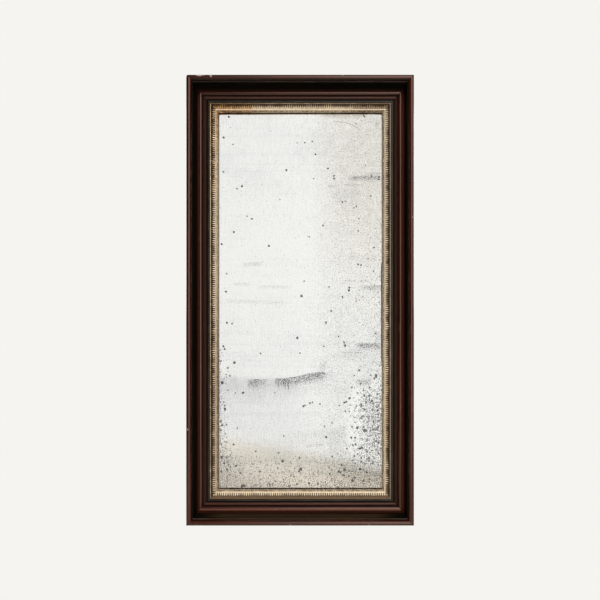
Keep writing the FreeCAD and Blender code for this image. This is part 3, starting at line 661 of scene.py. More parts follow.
def wedge_smear(finish, x, z):
    """The main smear, from its table: crisp along its top and drawn out downward."""
    start, end = WEDGE[0][0], WEDGE[-1][0]
    share = (x - start * MM) / ((end - start) * MM)
    heights = [((at - start) / (end - start), (top - WEDGE_LOWEST) / WEDGE_REACH) for at, top, _ in WEDGE]
    tones = [((at - start) / (end - start), tone) for at, _, tone in WEDGE]
    top = finish.add("ShaderNodeValToRGB", {"stops": heights}, {"Fac": share})
    tone = finish.add("ShaderNodeValToRGB", {"stops": tones}, {"Fac": share})
    drop = top * (WEDGE_REACH * MM) + WEDGE_LOWEST * MM - z
    fringe = finish.noise((x * 280, z * 12, 9.1), 1, 3, 0.65) - 0.5
    low = drop - fringe * (70 * MM)
    fading = low.rise(34 * MM, 15 * MM) * 0.78 + low.rise(80 * MM, 10 * MM) * 0.22
    return drop.rise(-1.5 * MM, 2 * MM) * fading * tone


def foxed_places(x, z, clouds):
    """Where the foxing gathers: the dense patch at the right, the right foot, the sill and all in one."""
    right = x.rise(0.115, 0.25) * z.rise(-0.235, -0.33) * z.rise(-0.58, -0.46)
    right_foot = x.rise(0.02, 0.25) * z.rise(-0.46, -0.56)
    right_edge = x.rise(0.215, 0.262) * z.rise(0.45, -0.2)
    right_third = x.rise(0.09, 0.24) * z.rise(0.32, 0.2)
    left = x.rise(-0.21, -0.262) * z.rise(-0.08, -0.28)
    left_foot = x.rise(-0.15, -0.262) * z.rise(-0.40, -0.54)
    left_rim = x.rise(-0.245, -0.262) * z.rise(-0.1, -0.22)
    foot = z.rise(-0.44, -0.57)
    sill = z.rise(-0.565, -0.595)
    thick = right + right_third * 0.18 + right_edge * 0.24 + left * 0.5 + left_rim * 0.4 + left_foot * 0.5
    thick = thick + right_foot * 0.3 + foot * 0.5 + sill * 0.45
    thick = (thick + (clouds - 0.5) * 0.4 * thick.rise(0, 0.3)).rise(0, 1.2)
    return right, right_foot, sill, thick


def bent_plane(finish, x, z, warp_x, warp_z, reach):
    """The plane of the plate with its places moved about by up to half of reach."""
    return finish.vector(x + warp_x * reach, z + warp_z * reach, 0)


def lost_silver(finish, x, z, right, sill, thick):
    """Where the silvering is gone: speckle, larger spots, dense mottling, the placed spots and a painted
    shadow at the right edge.

    It comes with the plane that the larger spots are bent by, for grain that follows them.
    """
    warp_x = finish.noise((x, z, 0), 120, 3, 0.65) - 0.5
    warp_z = finish.noise((x, z, 4.7), 120, 3, 0.65) - 0.5
    barely_bent = bent_plane(finish, x, z, warp_x, warp_z, MM)
    bent = bent_plane(finish, x, z, warp_x, warp_z, 9 * MM)
    far, chances = finish.cells(barely_bent, 250, "2D")
    there, size, tone = finish.parts(chances)
    speckle = (0.2 + size * 0.2 - far).rise(-0.06, 0.06)
    speckle = speckle * (thick * 1.15 + 0.012 - there).rise(0, 0.02) * (tone * 0.45 + 0.55)
    far, chances = finish.cells(bent, 110)
    there, size, tone = finish.parts(chances)
    blots = (0.18 + size * 0.26 - far).rise(-0.06, 0.06)
    blots = blots * (thick * 0.28 + right * 0.5 + 0.002 - there).rise(0, 0.02) * (tone * 0.3 + 0.65)
    mottle = (finish.noise(bent, 150, 3, 0.6) + right * right * 0.17 + sill * 0.05 - 0.67).rise(0, 0.07)
    spots = near_spots(finish, bent, SPOTS).rise(1.25, 0.6)
    # painted shadow along part of the right edge of the plate
    edge_shade = x.rise(0.2565, 0.2585) * z.rise(-0.2, -0.18) * z.rise(0.13, 0.11)
    return speckle | blots | mottle * 0.6 | spots * 0.88 | edge_shade * 0.8, bent


def grey_smears(finish, x, z, plane, streaks, dust, grain):
    """The wedge and the smaller smears, broken up by streaks, dust and grain."""
    smear = wedge_smear(finish, x, z)
    for patch in SMEARS:
        smear = smear | tapered_patch(x, z, patch)
    ragged = finish.noise(plane, 62, 4, 0.7).rise(0.34, 0.56)
    smear = smear * (streaks * 0.5 + dust * 3.2 + grain * 1.2 - 1.95).rise(0, 1)
    return smear * (ragged * 0.6 + 0.75) * 1.25


def silver_tone(finish, colours, x, z, plane, clear, right_foot, clouds, streaks, dust):
    """The silvering between its spots: clearest over the middle, warm at the right, grey low at the left."""
    mottled = finish.noise(plane, 44, 4, 0.75)
    bands = finish.noise((x * 1.5, z * 60, 7.7), 1, 4, 0.7)
    texture = clouds.rise(0.4, 0.75) * 0.12 + streaks.rise(0.38, 0.7) * 0.26 + bands.rise(0.46, 0.75) * 0.14
    texture = texture + (mottled - 0.5) * (x.rise(-0.05, 0.15) * 0.9 + 0.3) + x.rise(0.03, 0.14) * 0.1
    low_left = x.rise(0.04, -0.1) * z.rise(-0.22, -0.28)
    under_wedge = x.rise(0.02, -0.03) * z.rise(-0.235, -0.255) * z.rise(-0.35, -0.27)
    haze = texture * 1.3 - 0.11 + abs(z - 0.15).rise(0.04, 0.34) * 0.182 + (dust - 0.5) * 1.3
    haze = haze + low_left * 0.24 + under_wedge * 0.28
    tone = finish.mix((haze * clear * 0.8 - 0.05) | 0, colours.silver, tint(207, 210, 215))
    tone = tone.coat(x.rise(0, 0.24) * (z.rise(-0.15, 0.3) * 0.75 + 0.25) * clear * 0.5, 239, 236, 228)
    upper_right = (x + (clouds - 0.5) * 0.15).rise(0, 0.24) * z.rise(0.02, 0.34)
    duller = upper_right * (mottled * 1.5 + streaks * 0.8 - 0.8)
    tone = tone.coat(duller + (right_foot * 0.25 + z.rise(-0.53, -0.57) * 0.35) * clear, 218, 213, 205)
    grit = finish.noise(plane, 200, 2, 0.8).rise(0.5, 0.7)
    return tone.coat(grit * (x.rise(0, 0.13) * 0.45 + 0.1) * clear, 132, 131, 130)


def foxed_silvering(colours):
    """Old silvering: its tone, a stain and a scratch at the top, grey smears, spots where the silver is gone,
    a painted edge shadow.
    """
    finish = Finish("foxed_silvering")
    x, _, z = finish.parts(finish.place())
    plane = finish.vector(x, z, 0)
    clouds = finish.noise((x * 7, z * 9, 2.2), 1, 5, 0.6)
    streaks = finish.noise((x * 520, z * 34, 1.3), 1, 4, 0.65)
    dust = finish.noise(plane, 300, 2, 0.6)
    right, right_foot, sill, thick = foxed_places(x, z, clouds)
    loss_and_edge_shadow, bent = lost_silver(finish, x, z, right, sill, thick)
    grain = finish.noise(bent, 260, 4, 0.7)
    clear = right.rise(0.4, 0)
    tone = silver_tone(finish, colours, x, z, plane, clear, right_foot, clouds, streaks, dust)
    stain = tapered_patch(x, z, STAIN) * grain.rise(0.3, 0.6)
    scratch = abs(finish.distance(plane, SCRATCH_CENTRE) - SCRATCH_RADIUS).rise(1.9 * MM, 0.5 * MM)
    scratch = scratch * x.rise(0.098, 0.115) * x.rise(0.195, 0.186) * z.rise(0.53, 0.54)
    tone = tone.coat(stain | scratch * 0.85, 186, 178, 162)
    smear = grey_smears(finish, x, z, plane, streaks, dust, grain)
    tone = tone.coat(smear, 122, 122, 126)
    return finish.surface(
        base_color=finish.mix(loss_and_edge_shadow, tone, colours.foxing),
        metallic=1 - loss_and_edge_shadow * 0.9,
        roughness=0.09 + clouds * 0.04 + smear * 0.25 + loss_and_edge_shadow * 0.4,
        normal=finish.bump(clouds, 0.2 * MM, 0.2))


def plate_glass():
    """Clear old plate, a little wavy and dusty."""
    finish = Finish("old_plate_glass")
    place = finish.place()
    x, y, z = finish.parts(place)
    return finish.surface(
        base_color=(1, 1, 1),
        roughness=finish.noise(place, 900).rise(0.5, 0.9) * 0.04,
        transmission_weight=1,
        ior=1.48,
        specular_tint=(0.35, 0.35, 0.35),
        normal=finish.bump(finish.noise((x * 5, y, z * 9), 1, 2), 0.3 * MM, 0.1))


# Finishes of the CAD solids


def plain_softwood(colours, name, grain_axis, dark=0, rough=0.62, number=0, seams=None):
    """Aged softwood with growth rings, knots and saw marks. grain_axis is 0 for X and 2 for Z.

    number gives like boards a figure each, and seams are the two edges across the grain that keep dirt.
    """
    finish = Finish(name)
    place = finish.parts(finish.place())
    along = place[grain_axis] + number * 1.7
    across = place[2 - grain_axis] + number * 0.37
    deep = place[1]
    sway = finish.noise((along * 2.2, across * 6, deep * 6))
    bands = ((across * 150 + deep * 60 + sway * 9) * 2.2).wave()
    fibre = finish.noise((along * 30, across * 900, deep * 900))
    stain = finish.noise((along * 3, across * 7, deep * 7), 1, 5, 0.6)
    from_knot, _ = finish.cells((along * 3.1, across * 9.5, 0.4))
    knot = from_knot.rise(0.13, 0.05)
    wood = finish.mix(bands * 0.5, colours.softwood, tint(126, 84, 48))
    wood = wood.coat(fibre.rise(0.45, 0.75) * 0.35, 196, 158, 110)
    wood = wood.coat(knot * 0.85, 72, 40, 22)
    wood = wood.coat(stain.rise(0.45, 0.72) * (0.45 + dark), 74, 52, 34)
    wood = wood.coat(0.1 + 0.12 * math.sin(number * 2.4), 96, 62, 36)
    if seams:
        edge = abs(place[2 - grain_axis] - seams[0]) & abs(place[2 - grain_axis] - seams[1])
        wood = wood.coat(edge.rise(5 * MM, 0.5 * MM) * (fibre * 0.6 + 0.45), 34, 24, 16)
    saw = (along * 2400).wave()
    return finish.surface(
        base_color=wood,
        roughness=rough + fibre * 0.2,
        specular_ior_level=0.3,
        normal=finish.bump(fibre + bands * 0.8 + saw * 0.35 + knot, 0.25 * MM, 0.6))


def case_mahogany(colours, name, grain_axis):
    """The dark polished outer wall of the frame."""
    finish = Finish(name)
    place = finish.parts(finish.place())
    along, across, deep = place[grain_axis], place[2 - grain_axis], place[1]
    wood, fibre, pores = mahogany_figure(finish, colours, along, across, deep)
    scuffs = finish.noise((along * 12, across * 30, deep * 30), 1, 6, 0.7).rise(0.58, 0.75)
    return finish.surface(
        base_color=wood.coat(scuffs * 0.35, 92, 60, 46),
        roughness=0.26 + scuffs * 0.25 + fibre * 0.1,
        ior=1.6,
        specular_ior_level=0.6,
        specular_tint=(1, 0.75, 0.66),
        normal=finish.bump(fibre * 0.4 - pores * 0.4 - scuffs * 0.4, 0.15 * MM, 0.5))


def beech_keys():
    finish = Finish("beech_keys")
    x, y, z = finish.parts(finish.place())
    fibre = finish.noise(((x + z) * 900, y * 900, (x - z) * 30), 1, 4)
    return finish.surface(
        base_color=finish.mix(fibre, tint(96, 62, 38), tint(58, 34, 22)),
        roughness=0.45 + fibre * 0.2,
        specular_ior_level=0.4,
        normal=finish.bump(fibre, 0.1 * MM, 0.4))


def tarnished_brass(colours, name, patina):
    finish = Finish(name)
    place = finish.place()
    clouds = finish.noise(place, 130, 5, 0.65)
    fine = finish.noise(place, 900)
    brown = (clouds + patina).rise(0.4, 0.75)
    green = finish.noise(place, 300, 4, 0.7).rise(0.62, 0.74)
    return finish.surface(
        base_color=finish.mix(brown, colours.brass, tint(92, 66, 38)).coat(green * 0.4, 86, 98, 74),
        metallic=0.95 - green * 0.7,
        roughness=0.28 + brown * 0.25 + fine * 0.1,
        normal=finish.bump(fine + clouds, 0.08 * MM, 0.4))


def dulled_steel():
    finish = Finish("dulled_steel")
    rust = finish.noise(finish.place(), 420, 5, 0.7).rise(0.5, 0.68)
    return finish.surface(
        base_color=finish.mix(rust, tint(122, 116, 108), tint(92, 56, 34)),
        metallic=0.9 - rust * 0.8,
        roughness=0.38 + rust * 0.4,
        normal=finish.bump(rust, 0.08 * MM, 0.6))


def wool_felt():
    finish = Finish("wool_felt")
    place = finish.place()
    tangle = finish.noise(place, 1500, 4, 0.7, 1.5)
    clumps = finish.noise(place, 240, 4, 0.6)
    wool = finish.mix(tangle, tint(44, 58, 42), tint(84, 98, 74))
    return finish.surface(
        base_color=wool.coat(clumps.rise(0.5, 0.8) * 0.4, 60, 66, 52),
        roughness=0.95,
        specular_ior_level=0.1,
        sheen_weight=0.4,
        sheen_roughness=0.5,
        normal=finish.bump(tangle + clumps, 0.4 * MM, 0.9))


# Mesh helpers


def arc_points(start, via, end, steps):
    """Points on the arc through three points, from just after the first to the last."""
    (ax, ay), (bx, by), (cx, cy) = start, via, end
    twice_area = 2 * (ax * (by - cy) + bx * (cy - ay) + cx * (ay - by))
    a2, b2, c2 = ax * ax + ay * ay, bx * bx + by * by, cx * cx + cy * cy
    ox = (a2 * (by - cy) + b2 * (cy - ay) + c2 * (ay - by)) / twice_area
    oy = (a2 * (cx - bx) + b2 * (ax - cx) + c2 * (bx - ax)) / twice_area
    radius = math.hypot(ax - ox, ay - oy)
    first, middle, last = (math.atan2(y - oy, x - ox) for x, y in (start, via, end))
    sweep = (last - first) % (2 * math.pi)
    if (middle - first) % (2 * math.pi) > sweep:
        sweep -= 2 * math.pi
    angles = [first + sweep * step / steps for step in range(1, steps + 1)]
    return [(ox + radius * math.cos(a), oy + radius * math.sin(a)) for a in angles]


def eased(points, reach, sharp_degrees=30, most=0.45):
    """The closed outline with each sharp corner worn round, over at most a share of the legs beside it."""
    softened = []
    count = len(points)
    for number, corner in enumerate(points):
        before, after = Vector(points[number - 1]), Vector(points[(number + 1) % count])
        corner = Vector(corner)
        back, ahead = before - corner, after - corner
        if back.angle(-ahead) < math.radians(sharp_degrees):
            softened.append(tuple(corner))
            continue
        cut = min(reach, back.length * most, ahead.length * most)
        near, far = corner + back.normalized() * cut, corner + ahead.normalized() * cut
        for share in (0, 0.33, 0.67, 1):
            first = near.lerp(corner, share)
            softened.append(tuple(first.lerp(corner.lerp(far, share), share)))
    return softened


def outline_points(legs, arris, arc_step, fewest_steps=6, arc_over_chord=1.3):
    """A moulding's closed outline in metres."""
    points = []
    previous = legs[-1][-2:]
    for leg in legs:
        leg = [value * MM for value in leg]
        if len(leg) == 2:
            points.append(tuple(leg))
        else:
            chord = math.dist(previous, leg[2:])
            steps = max(fewest_steps, math.ceil(chord * arc_over_chord / arc_step))
            points.extend(arc_points(previous, leg[:2], leg[2:], steps))
        previous = points[-1]
    return eased(points, arris)


def even_stations(half_run, step):
    """Places for a plain moulding's rings of points, even along it and closer at its corners."""
    count = math.ceil(2 * half_run / step)
    inner = [-half_run + 2 * half_run * number / count for number in range(1, count)]
    near_end = [half_run - WORN_CORNER * share for share in CORNER_SHARES]
    inner = [place for place in inner if abs(place) < near_end[-1] - MM]
    return [-place for place in near_end] + inner + near_end[::-1]


def rounded_inset(side, station, inset):
    """The inset of a point near an outer corner of the frame, once that corner is worn round."""
    from_end = SIDES[side][1] - abs(station)
    top_left = (side == "top" and station < 0) or (side == "left" and station > 0)
    radius = WORN_CORNER if top_left else PLAIN_CORNER
    if from_end >= radius or inset >= radius:
        return inset
    if from_end <= inset + MM / 2:
        return max(inset, radius * (1 - math.sqrt(0.5)))
    return max(inset, radius - math.sqrt(radius ** 2 - (radius - from_end) ** 2))


def ring_of_vertices(made, side, station, outline, shape, gap, girth, kept):
    """The outline's points at one place along a side, stopped at the mitres.

    kept holds the points that already lie on a mitre, which later rings share.
    """
    turn, half_run, half_span = SIDES[side]
    rotation = Matrix.Rotation(math.radians(turn), 3, "Y")
    place = made.verts.layers.float_vector[PLACE]
    ring = []
    for number, point in enumerate(outline):
        limit = half_run - point[0] - gap
        at_mitre = abs(station) >= limit
        key = (number, station > 0)
        if at_mitre and key in kept:
            ring.append(kept[key])
            continue
        along = math.copysign(limit, station) if at_mitre else station
        (inset, depth), height = shape(along, number, point)
        limit = half_run - inset - gap
        along = math.copysign(limit, station) if at_mitre else max(-limit, min(limit, along))
        vertex = made.verts.new(rotation @ Vector((along, FRONT + depth, half_span - inset)))
        vertex[place] = (along + FIGURE_SHIFT * turn / 90, girth[number], height)
        if at_mitre:
            kept[key] = vertex
        ring.append(vertex)
    return ring


def skin(made, rings, girth, closing, rows):
    """Faces from ring to ring, laid out on the bake map in rows."""
    bake = made.loops.layers.uv[BAKE_MAP]
    count = len(girth)
    spans = len(rings) - 1
    for step in range(spans):
        row = min(rows - 1, step * rows // spans)
        first, last = row * spans / rows, (row + 1) * spans / rows
        for number in range(count):
            following = (number + 1) % count
            corners = {}
            for at, ring_number, girth_number in (
                    (step, number, number), (step + 1, number, number),
                    (step + 1, following, number + 1), (step, following, number + 1)):
                corners.setdefault(rings[at][ring_number], (at, girth_number))
            if len(corners) < 3:
                continue
            face = made.faces.new(corners)
            face.smooth = True
            for loop, (at, girth_number) in zip(face.loops, corners.values()):
                across = 1 if girth_number == count else girth[girth_number] / closing
                loop[bake].uv = (
                    (at - first) / (last - first), (row + across * ROW_FILL) / rows * ROWS_HEIGHT)


def mesh_from(made, name, sharp_degrees):
    """The finished mesh, with hard edges where faces meet more sharply than the angle."""
    bmesh.ops.triangulate(made, faces=[face for face in made.faces if len(face.verts) > 4])
    bmesh.ops.recalc_face_normals(made, faces=made.faces)
    mesh = bpy.data.meshes.new(name)
    made.to_mesh(mesh)
    made.free()
    mesh.set_sharp_from_angle(angle=math.radians(sharp_degrees))
    return mesh


def mitred_length(name, side, outline, stations, shape, gap):
    """Carries an outline along one side of the frame and cuts it at 45 degrees at both ends.

    shape takes the place along the side, the number of a point of the outline and the point. It returns the
    point as it is there, and how far it stands up in the relief.
    """
    girth = [0.0]
    for first, second in zip(outline, outline[1:]):
        girth.append(girth[-1] + math.dist(first, second))
    closing = girth[-1] + math.dist(outline[-1], outline[0])
    rows = max(1, round(math.sqrt(2 * SIDES[side][1] / closing)))
    made = bmesh.new()
    made.verts.layers.float_vector.new(PLACE)
    bake = made.loops.layers.uv.new(BAKE_MAP)
    kept = {}
    rings = []
    for station in stations:
        rings.append(ring_of_vertices(made, side, station, outline, shape, gap, girth, kept))
    skin(made, rings, girth, closing, rows)
    low_inset = min(inset for inset, _ in outline)
    low_depth = min(depth for _, depth in outline)
    for ring in (rings[0], rings[-1]):
        cap = made.faces.new(ring)
        for loop, (inset, depth) in zip(cap.loops, outline):
            loop[bake].uv = (CUT_CORNER[0] + inset - low_inset, CUT_CORNER[1] + (depth - low_depth) * 0.5)
    return mesh_from(made, name, sharp_degrees=38)


def plate(name, node, front, back, arris, step=50 * MM):
    """A thin upright plate with worn edges, the size of a CAD node, between two depths along Y."""
    low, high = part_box(node)
    across = max(2, round((high.x - low.x) / step))
    up = max(2, round((high.z - low.z) / step))
    made = bmesh.new()
    rings = []
    for y, inset in ((front, arris), (front + arris, 0), (back - arris, 0), (back, arris)):
        ring = []
        corners = [(low.x + inset, low.z + inset), (high.x - inset, low.z + inset),
                   (high.x - inset, high.z - inset), (low.x + inset, high.z - inset)]
        for number, (x, z) in enumerate(corners):
            next_x, next_z = corners[(number + 1) % 4]
            steps = across if number % 2 == 0 else up
            for part in range(steps):
                place = (x + (next_x - x) * part / steps, y, z + (next_z - z) * part / steps)
                ring.append(made.verts.new(place))
        rings.append(ring)
    for first, second in zip(rings, rings[1:]):
        for number in range(len(first)):
            following = (number + 1) % len(first)
            made.faces.new((first[number], first[following], second[following], second[number]))
    for ring in (rings[0], rings[-1]):
        made.faces.new(ring)
    return mesh_from(made, name, sharp_degrees=30)


def add_object(name, data):
    made = bpy.data.objects.new(name, data)
    bpy.context.scene.collection.objects.link(made)
    return made


def add_piece(name, mesh, material, replaced):
    """Puts a new piece of the frame in place of a CAD node."""
    piece = add_object(name, mesh)
    mesh.materials.append(material)
    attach(piece, "frame")
    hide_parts(replaced)


def paint(material, *nodes):
    """Gives CAD solids their finish."""
    for node in nodes:
        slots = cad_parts[node].data.materials
        slots.clear()
        slots.append(material)


def plain_shape(side, number, outline, wobble):
    """The shape of a plain old moulding, which strays a little from true. number sets sides apart."""
    depths = [depth for _, depth in outline]
    low, high = min(depths), max(depths)

    def shape(station, index, point):
        inset, depth = point
        inset = rounded_inset(side, station, inset)
        height = (high - depth) / (high - low)
        stray = noise.noise(Vector((station * 7 + number * 7.3, inset * 25, 0.5)))
        ripple = noise.noise(Vector((station * 60 + number * 7.3, inset * 90, 2.5)))
        sink = wobble * (0.5 + 0.5 * stray) + wobble * 0.35 * (0.5 + 0.5 * ripple)
        return (inset, depth + sink * height), height

    return shape


def ribbed_shape(side, pitch, outline, relief):
    """The shape of the slip: cross ribs on its cove, and a sight edge that stands back on the rails."""
    half_run = SIDES[side][1]
    plain_share = STILE_PLAIN if side in ("left", "right") else RAIL_PLAIN
    normals = []
    for before, after in zip([outline[-1], *outline], [*outline[1:], outline[0]]):
        along = (Vector(after) - Vector(before)).normalized()
        normals.append(Vector((along.y, -along.x)))

    def shape(station, index, point):
        inset, depth = point
        if inset > SIGHT_EDGE:
            from_mitre = max(0, min(1, (half_run - inset - abs(station)) / SET_BACK_RUN))
            slope = min(1, (inset - SIGHT_EDGE) / SET_BACK_SLOPE)
            inset -= SET_BACK.get(side, 0) * from_mitre * slope
        if depth > BACK_DEPTH or inset < FLANK_END:
            return (inset, depth), GLASS_RELIEF if inset > BY_GLASS else FLANK_RELIEF
        if inset <= RIB_START:
            return (inset, depth), FILLET_RELIEF if depth < FILLET_DEPTH else STEP_RELIEF
        share = (inset - RIB_START) / (RIB_END - RIB_START)
        if share < 1:
            rib = round((station + half_run) / pitch - 0.5)
            vary = 1 + 0.35 * noise.noise(Vector((rib * 0.37, 1.5, len(side))))
            crest = abs(math.sin(math.pi * (station + half_run) / pitch)) ** RIB_SHARPNESS
            ends = min(1, share / RIB_RISE) * min(1, (1 - share) / RIB_FALL)
            moved = Vector(point) + normals[index] * (crest - 0.5) * relief * ends
            height = crest * vary * min(1, 0.55 + share * 0.9) + max(0, share - plain_share) * 1.2
            return (moved.x, moved.y), height
        stray = 0.08 * MM * noise.noise(Vector((station * 90, inset * 200, 0)))
        return (inset, depth + stray), PLAIN_RELIEF

    return shape


def dress_sides(context, node, make_finish, step=7 * MM):
    """Builds one moulding on all four sides. Two mouldings of one wood share its material."""
    sizes = context.scene.mirror_sizes
    name, legs, slot = MOULDINGS[node]
    material = bpy.data.materials.get(make_finish.__name__) or make_finish(context.scene.mirror_colours)
    ribbed = node == "gilt_slip"
    outline = outline_points(legs, sizes.arris, SLIP_ARC_STEP if ribbed else ARC_STEP)
    for number, (side, (_, half_run, _)) in enumerate(SIDES.items()):
        if ribbed:
            ribs = round(2 * half_run / sizes.rib_pitch)
            pitch = 2 * half_run / ribs
            rows = range(ribs * sizes.rib_steps + 1)
            stations = [-half_run + pitch * row / sizes.rib_steps for row in rows]
            shape = ribbed_shape(side, pitch, outline, sizes.rib_relief)
        else:
            stations = even_stations(half_run, step)
            shape = plain_shape(side, number, outline, sizes.wobble)
        mesh = mitred_length(f"{name}_{side}", side, outline, stations, shape, sizes.mitre_gap)
        add_piece(f"{name}_{side}", mesh, material, f"{node}_{side}")


# Operators, one for each piece or group of like pieces


class MIRROR_OT_outer_bead(bpy.types.Operator):
    """Carry the polished half-round bead round the outside of the frame"""

    bl_idname = "wall_mirror.outer_bead"
    bl_label = "Outer Bead"

    def execute(self, context):
        dress_sides(context, "outer_bead", polished_mahogany)
        return {"FINISHED"}


class MIRROR_OT_black_cove(bpy.types.Operator):
    """Carry the deep ebonised cove round inside the bead"""

    bl_idname = "wall_mirror.black_cove"
    bl_label = "Black Cove"

    def execute(self, context):
        dress_sides(context, "cove", ebonised_cove, 12 * MM)
        return {"FINISHED"}


class MIRROR_OT_inner_moulding(bpy.types.Operator):
    """Carry the torus and the small astragal beside it round the frame"""

    bl_idname = "wall_mirror.inner_moulding"
    bl_label = "Torus and Astragal"

    def execute(self, context):
        dress_sides(context, "inner_moulding", polished_mahogany)
        return {"FINISHED"}


class MIRROR_OT_black_strip(bpy.types.Operator):
    """Carry the rounded ebonised strip round outside the slip"""

    bl_idname = "wall_mirror.black_strip"
    bl_label = "Black Strip"

    def execute(self, context):
        dress_sides(context, "ebonised_strip", ebonised_strip)
        return {"FINISHED"}


class MIRROR_OT_gilt_slip(bpy.types.Operator):
    """Carry the gilt slip with its cross ribs round the sight edge"""

    bl_idname = "wall_mirror.gilt_slip"
    bl_label = "Ribbed Gilt Slip"

    def execute(self, context):
        dress_sides(context, "gilt_slip", worn_gilding)
        return {"FINISHED"}


class MIRROR_OT_mirror_plate(bpy.types.Operator):
    """Make the old plate glass and the foxed silvering on its back"""

    bl_idname = "wall_mirror.mirror_plate"
    bl_label = "Glass and Silvering"

    def execute(self, context):
        low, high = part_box("mirror_glass")
        mesh = plate("plate_glass", "mirror_glass", low.y, high.y, GLASS_ARRIS)
        add_piece("plate_glass", mesh, plate_glass(), "mirror_glass")
        low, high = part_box("silvering")
        mesh = plate("foxed_silvering", "silvering", low.y + SILVER_GAP, high.y, SILVER_ARRIS)
        material = foxed_silvering(context.scene.mirror_colours)
        add_piece("foxed_silvering", mesh, material, "silvering")
        return {"FINISHED"}


class MIRROR_OT_case_and_rails(bpy.types.Operator):
    """Finish the outer case, the softwood rails and the keys across the mitres"""

    bl_idname = "wall_mirror.case_and_rails"
    bl_label = "Case, Rails and Keys"

    def execute(self, context):
        colours = context.scene.mirror_colours
        for grain_axis, axis, sides in ((0, "x", ("top", "bottom")), (2, "z", ("left", "right"))):
            case = case_mahogany(colours, f"case_mahogany_{axis}", grain_axis)
            rail = plain_softwood(colours, f"rail_softwood_{axis}", grain_axis, 0.1)
            for side in sides:
                paint(case, f"case_side_{side}")
                paint(rail, f"base_rail_{side}")
        paint(beech_keys(), "mitre_keys")
        return {"FINISHED"}


class MIRROR_OT_backboards(bpy.types.Operator):
    """Finish the boards that close the back, the blocks round the plate and the spacers with their felts"""

    bl_idname = "wall_mirror.backboards"
    bl_label = "Boards, Blocks and Spacers"

    def execute(self, context):
        colours = context.scene.mirror_colours
        boards = [node for node in sorted(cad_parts) if node[-1].isdigit()]
        for number, node in enumerate(boards, 1):
            low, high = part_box(node)
            name = f"board_softwood_{number}"
            paint(plain_softwood(colours, name, 0, 0.2, 0.7, number, (low.z, high.z)), node)
        paint(plain_softwood(colours, "block_softwood", 2), "glazing_blocks", "wall_spacers")
        paint(wool_felt(), "spacer_felts")
        return {"FINISHED"}


class MIRROR_OT_hangers(bpy.types.Operator):
    """Finish the hanger plates, their rings and all the screws"""

    bl_idname = "wall_mirror.hangers"
    bl_label = "Hangers, Rings and Screws"

    def execute(self, context):
        colours = context.scene.mirror_colours
        strap = tarnished_brass(colours, "hanger_brass", patina=0.05)
        ring = tarnished_brass(colours, "ring_brass", patina=-0.08)
        paint(strap, "hanger_plate_left", "hanger_plate_right")
        paint(ring, "hanger_ring_left", "hanger_ring_right")
        paint(dulled_steel(), "hanger_screws", "backboard_screws")
        return {"FINISHED"}


# The stage

# Each lamp's name, place, aim, size and setting for its power, and whether polished surfaces show it.
LAMPS = (
    ("key_lamp", (-0.3, -1.9, 2.5), (0, 0, 0), 2.0, "key_power", False),
    ("fill_lamp", (0.8, -2.6, -0.4), (0, 0, 0), 1.6, "fill_power", False),
    ("low_lamp", (0.1, -1.3, -1.2), (0, 0, -0.3), 0.7, "low_power", False),
    ("floor_lamp", (-1.4, -4.2, 0), (-1.2, -4.1, -1.6), 1.6, "floor_power", False),
    ("back_lamp", (-1.8, 2.4, 1), (0, 0, 0), 2.0, "back_power", True),
    ("back_lamp", (1.8, 2.4, 1), (0, 0, 0), 2.0, "back_power", True),
)
# The floor's corners. Its front edge runs aslant, as the floor that the old plate reflects along its foot.
FLOOR = ((-2.6, -4.23), (2.6, -1.75), (2.6, 0.75), (-2.6, 0.75))
# What polished surfaces reflect round the window, and of the wall behind.
DARK_ROOM, WALL_BEHIND = (0.012, 0.012, 0.013), (0.2, 0.2, 0.2)


def add_lamp(name, place, aim, size, power, shown):
    data = bpy.data.lights.new(name, "AREA")
    data.shape = "SQUARE"
    data.size = size
    data.energy = power
    lamp = add_object(name, data)
    lamp.location = place
    lamp.rotation_euler = (Vector(aim) - Vector(place)).to_track_quat("-Z", "Y").to_euler()
    lamp.visible_glossy = shown
    lamp.visible_transmission = False


def add_floor(settings, colours):
    mesh = bpy.data.meshes.new("floor")
    mesh.from_pydata([(x, y, settings.floor_height) for x, y in FLOOR], [], [(0, 1, 2, 3)])
    finish = Finish("pale_floor")
    tone = finish.mix(finish.noise(finish.place(), 2.5, 5) * 0.3, colours.floor, tint(190, 182, 168))
    mesh.materials.append(finish.surface(base_color=tone, roughness=0.8, specular_ior_level=0.2))
    add_object("floor", mesh)


def add_world(settings, colours):
    """Soft light all round. Polished surfaces reflect a broad window ahead and some of the wall behind."""
    world = bpy.data.worlds.new("soft_studio")
    world.use_nodes = True
    bpy.context.scene.world = world
    nodes = Nodes(world.node_tree)
    across, back, up = nodes.parts(nodes.add("ShaderNodeTexCoord", output="Generated"))
    ray = nodes.add("ShaderNodeLightPath").socket.node
    seen, glossy, through = (
        Wire(nodes, ray.outputs[name]) for name in ("Is Camera Ray", "Is Glossy Ray", "Is Transmission Ray"))
    window = abs(across - 0.26).rise(0.54, 0.1) * up.rise(-0.75, -0.1) * up.rise(1, 0.6)
    window = window * back.rise(0.1, -0.25)
    level, ambient = settings.window_level, settings.ambient
    sheen = nodes.mix(window, DARK_ROOM, (level, level, level * 0.97))
    sheen = nodes.mix(back.rise(0.3, 0.9), sheen, WALL_BEHIND)
    soft = nodes.mix(glossy, (ambient, ambient, ambient * 0.985), sheen)
    colour = nodes.mix(seen | through, soft, colours.background)
    shine = nodes.add("ShaderNodeBackground", None, {"Color": colour, "Strength": 1})
    nodes.add("ShaderNodeOutputWorld", None, {"Surface": shine})


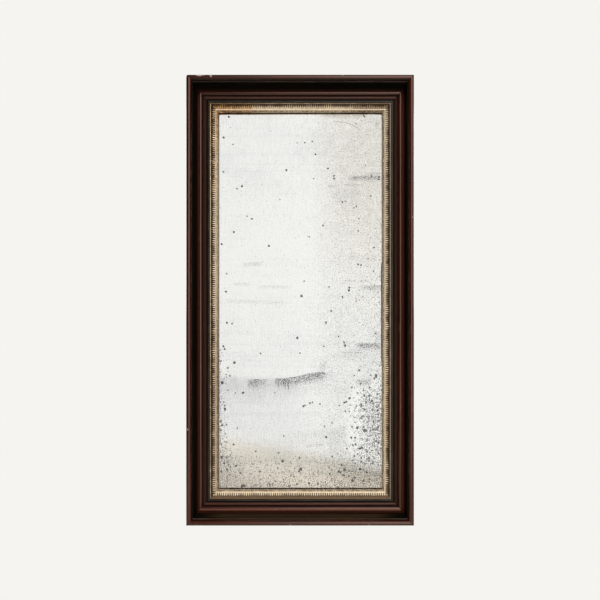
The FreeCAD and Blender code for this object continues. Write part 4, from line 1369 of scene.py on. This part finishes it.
def add_camera(settings):
    data = bpy.data.cameras.new("camera")
    data.sensor_fit = "HORIZONTAL"
    data.sensor_width = SENSOR_WIDTH
    data.lens = settings.focal_pixels * SENSOR_WIDTH / PICTURE_WIDTH
    data.shift_x = settings.shift_right / PICTURE_WIDTH
    data.shift_y = settings.shift_up / PICTURE_WIDTH
    camera = add_object("camera", data)
    camera.location = (settings.camera_side, FRONT - settings.camera_distance, settings.camera_height)
    camera.rotation_euler = (math.radians(90), 0, 0)
    bpy.context.scene.camera = camera


class MIRROR_OT_stage(bpy.types.Operator):
    """Set up the floor, the soft light, the pale background and the camera"""

    bl_idname = "wall_mirror.stage"
    bl_label = "Stage"

    def execute(self, context):
        settings = context.scene.mirror_stage
        colours = context.scene.mirror_colours
        add_floor(settings, colours)
        add_world(settings, colours)
        for name, place, aim, size, power, shown in LAMPS:
            add_lamp(name, place, aim, size, getattr(settings, power), shown)
        add_camera(settings)
        context.scene.view_settings.view_transform = "Standard"
        return {"FINISHED"}


STEPS = (
    MIRROR_OT_outer_bead,
    MIRROR_OT_black_cove,
    MIRROR_OT_inner_moulding,
    MIRROR_OT_black_strip,
    MIRROR_OT_gilt_slip,
    MIRROR_OT_mirror_plate,
    MIRROR_OT_case_and_rails,
    MIRROR_OT_backboards,
    MIRROR_OT_hangers,
    MIRROR_OT_stage,
)


class MIRROR_PT_steps(bpy.types.Panel):
    """Lists the steps that build the mirror and their settings"""

    bl_label = "Old Wall Mirror"
    bl_idname = "MIRROR_PT_steps"
    bl_space_type = "VIEW_3D"
    bl_region_type = "UI"
    bl_category = "Mirror"

    def draw(self, context):
        for group in (context.scene.mirror_sizes, context.scene.mirror_colours, context.scene.mirror_stage):
            box = self.layout.box()
            for name in group.__annotations__:
                box.prop(group, name)
        for step in STEPS:
            self.layout.operator(step.bl_idname)


GROUPS = {"mirror_sizes": MirrorSizes, "mirror_colours": MirrorColours, "mirror_stage": StageSettings}


def register():
    for name, group in GROUPS.items():
        bpy.utils.register_class(group)
        setattr(bpy.types.Scene, name, PointerProperty(type=group))
    for item in (*STEPS, MIRROR_PT_steps):
        bpy.utils.register_class(item)


def unregister():
    for item in reversed((*STEPS, MIRROR_PT_steps)):
        bpy.utils.unregister_class(item)
    for name, group in GROUPS.items():
        delattr(bpy.types.Scene, name)
        bpy.utils.unregister_class(group)


def main():
    register()
    for step in STEPS:
        category, name = step.bl_idname.split(".")
        getattr(getattr(bpy.ops, category), name)()


if __name__ == "__main__":
    main()
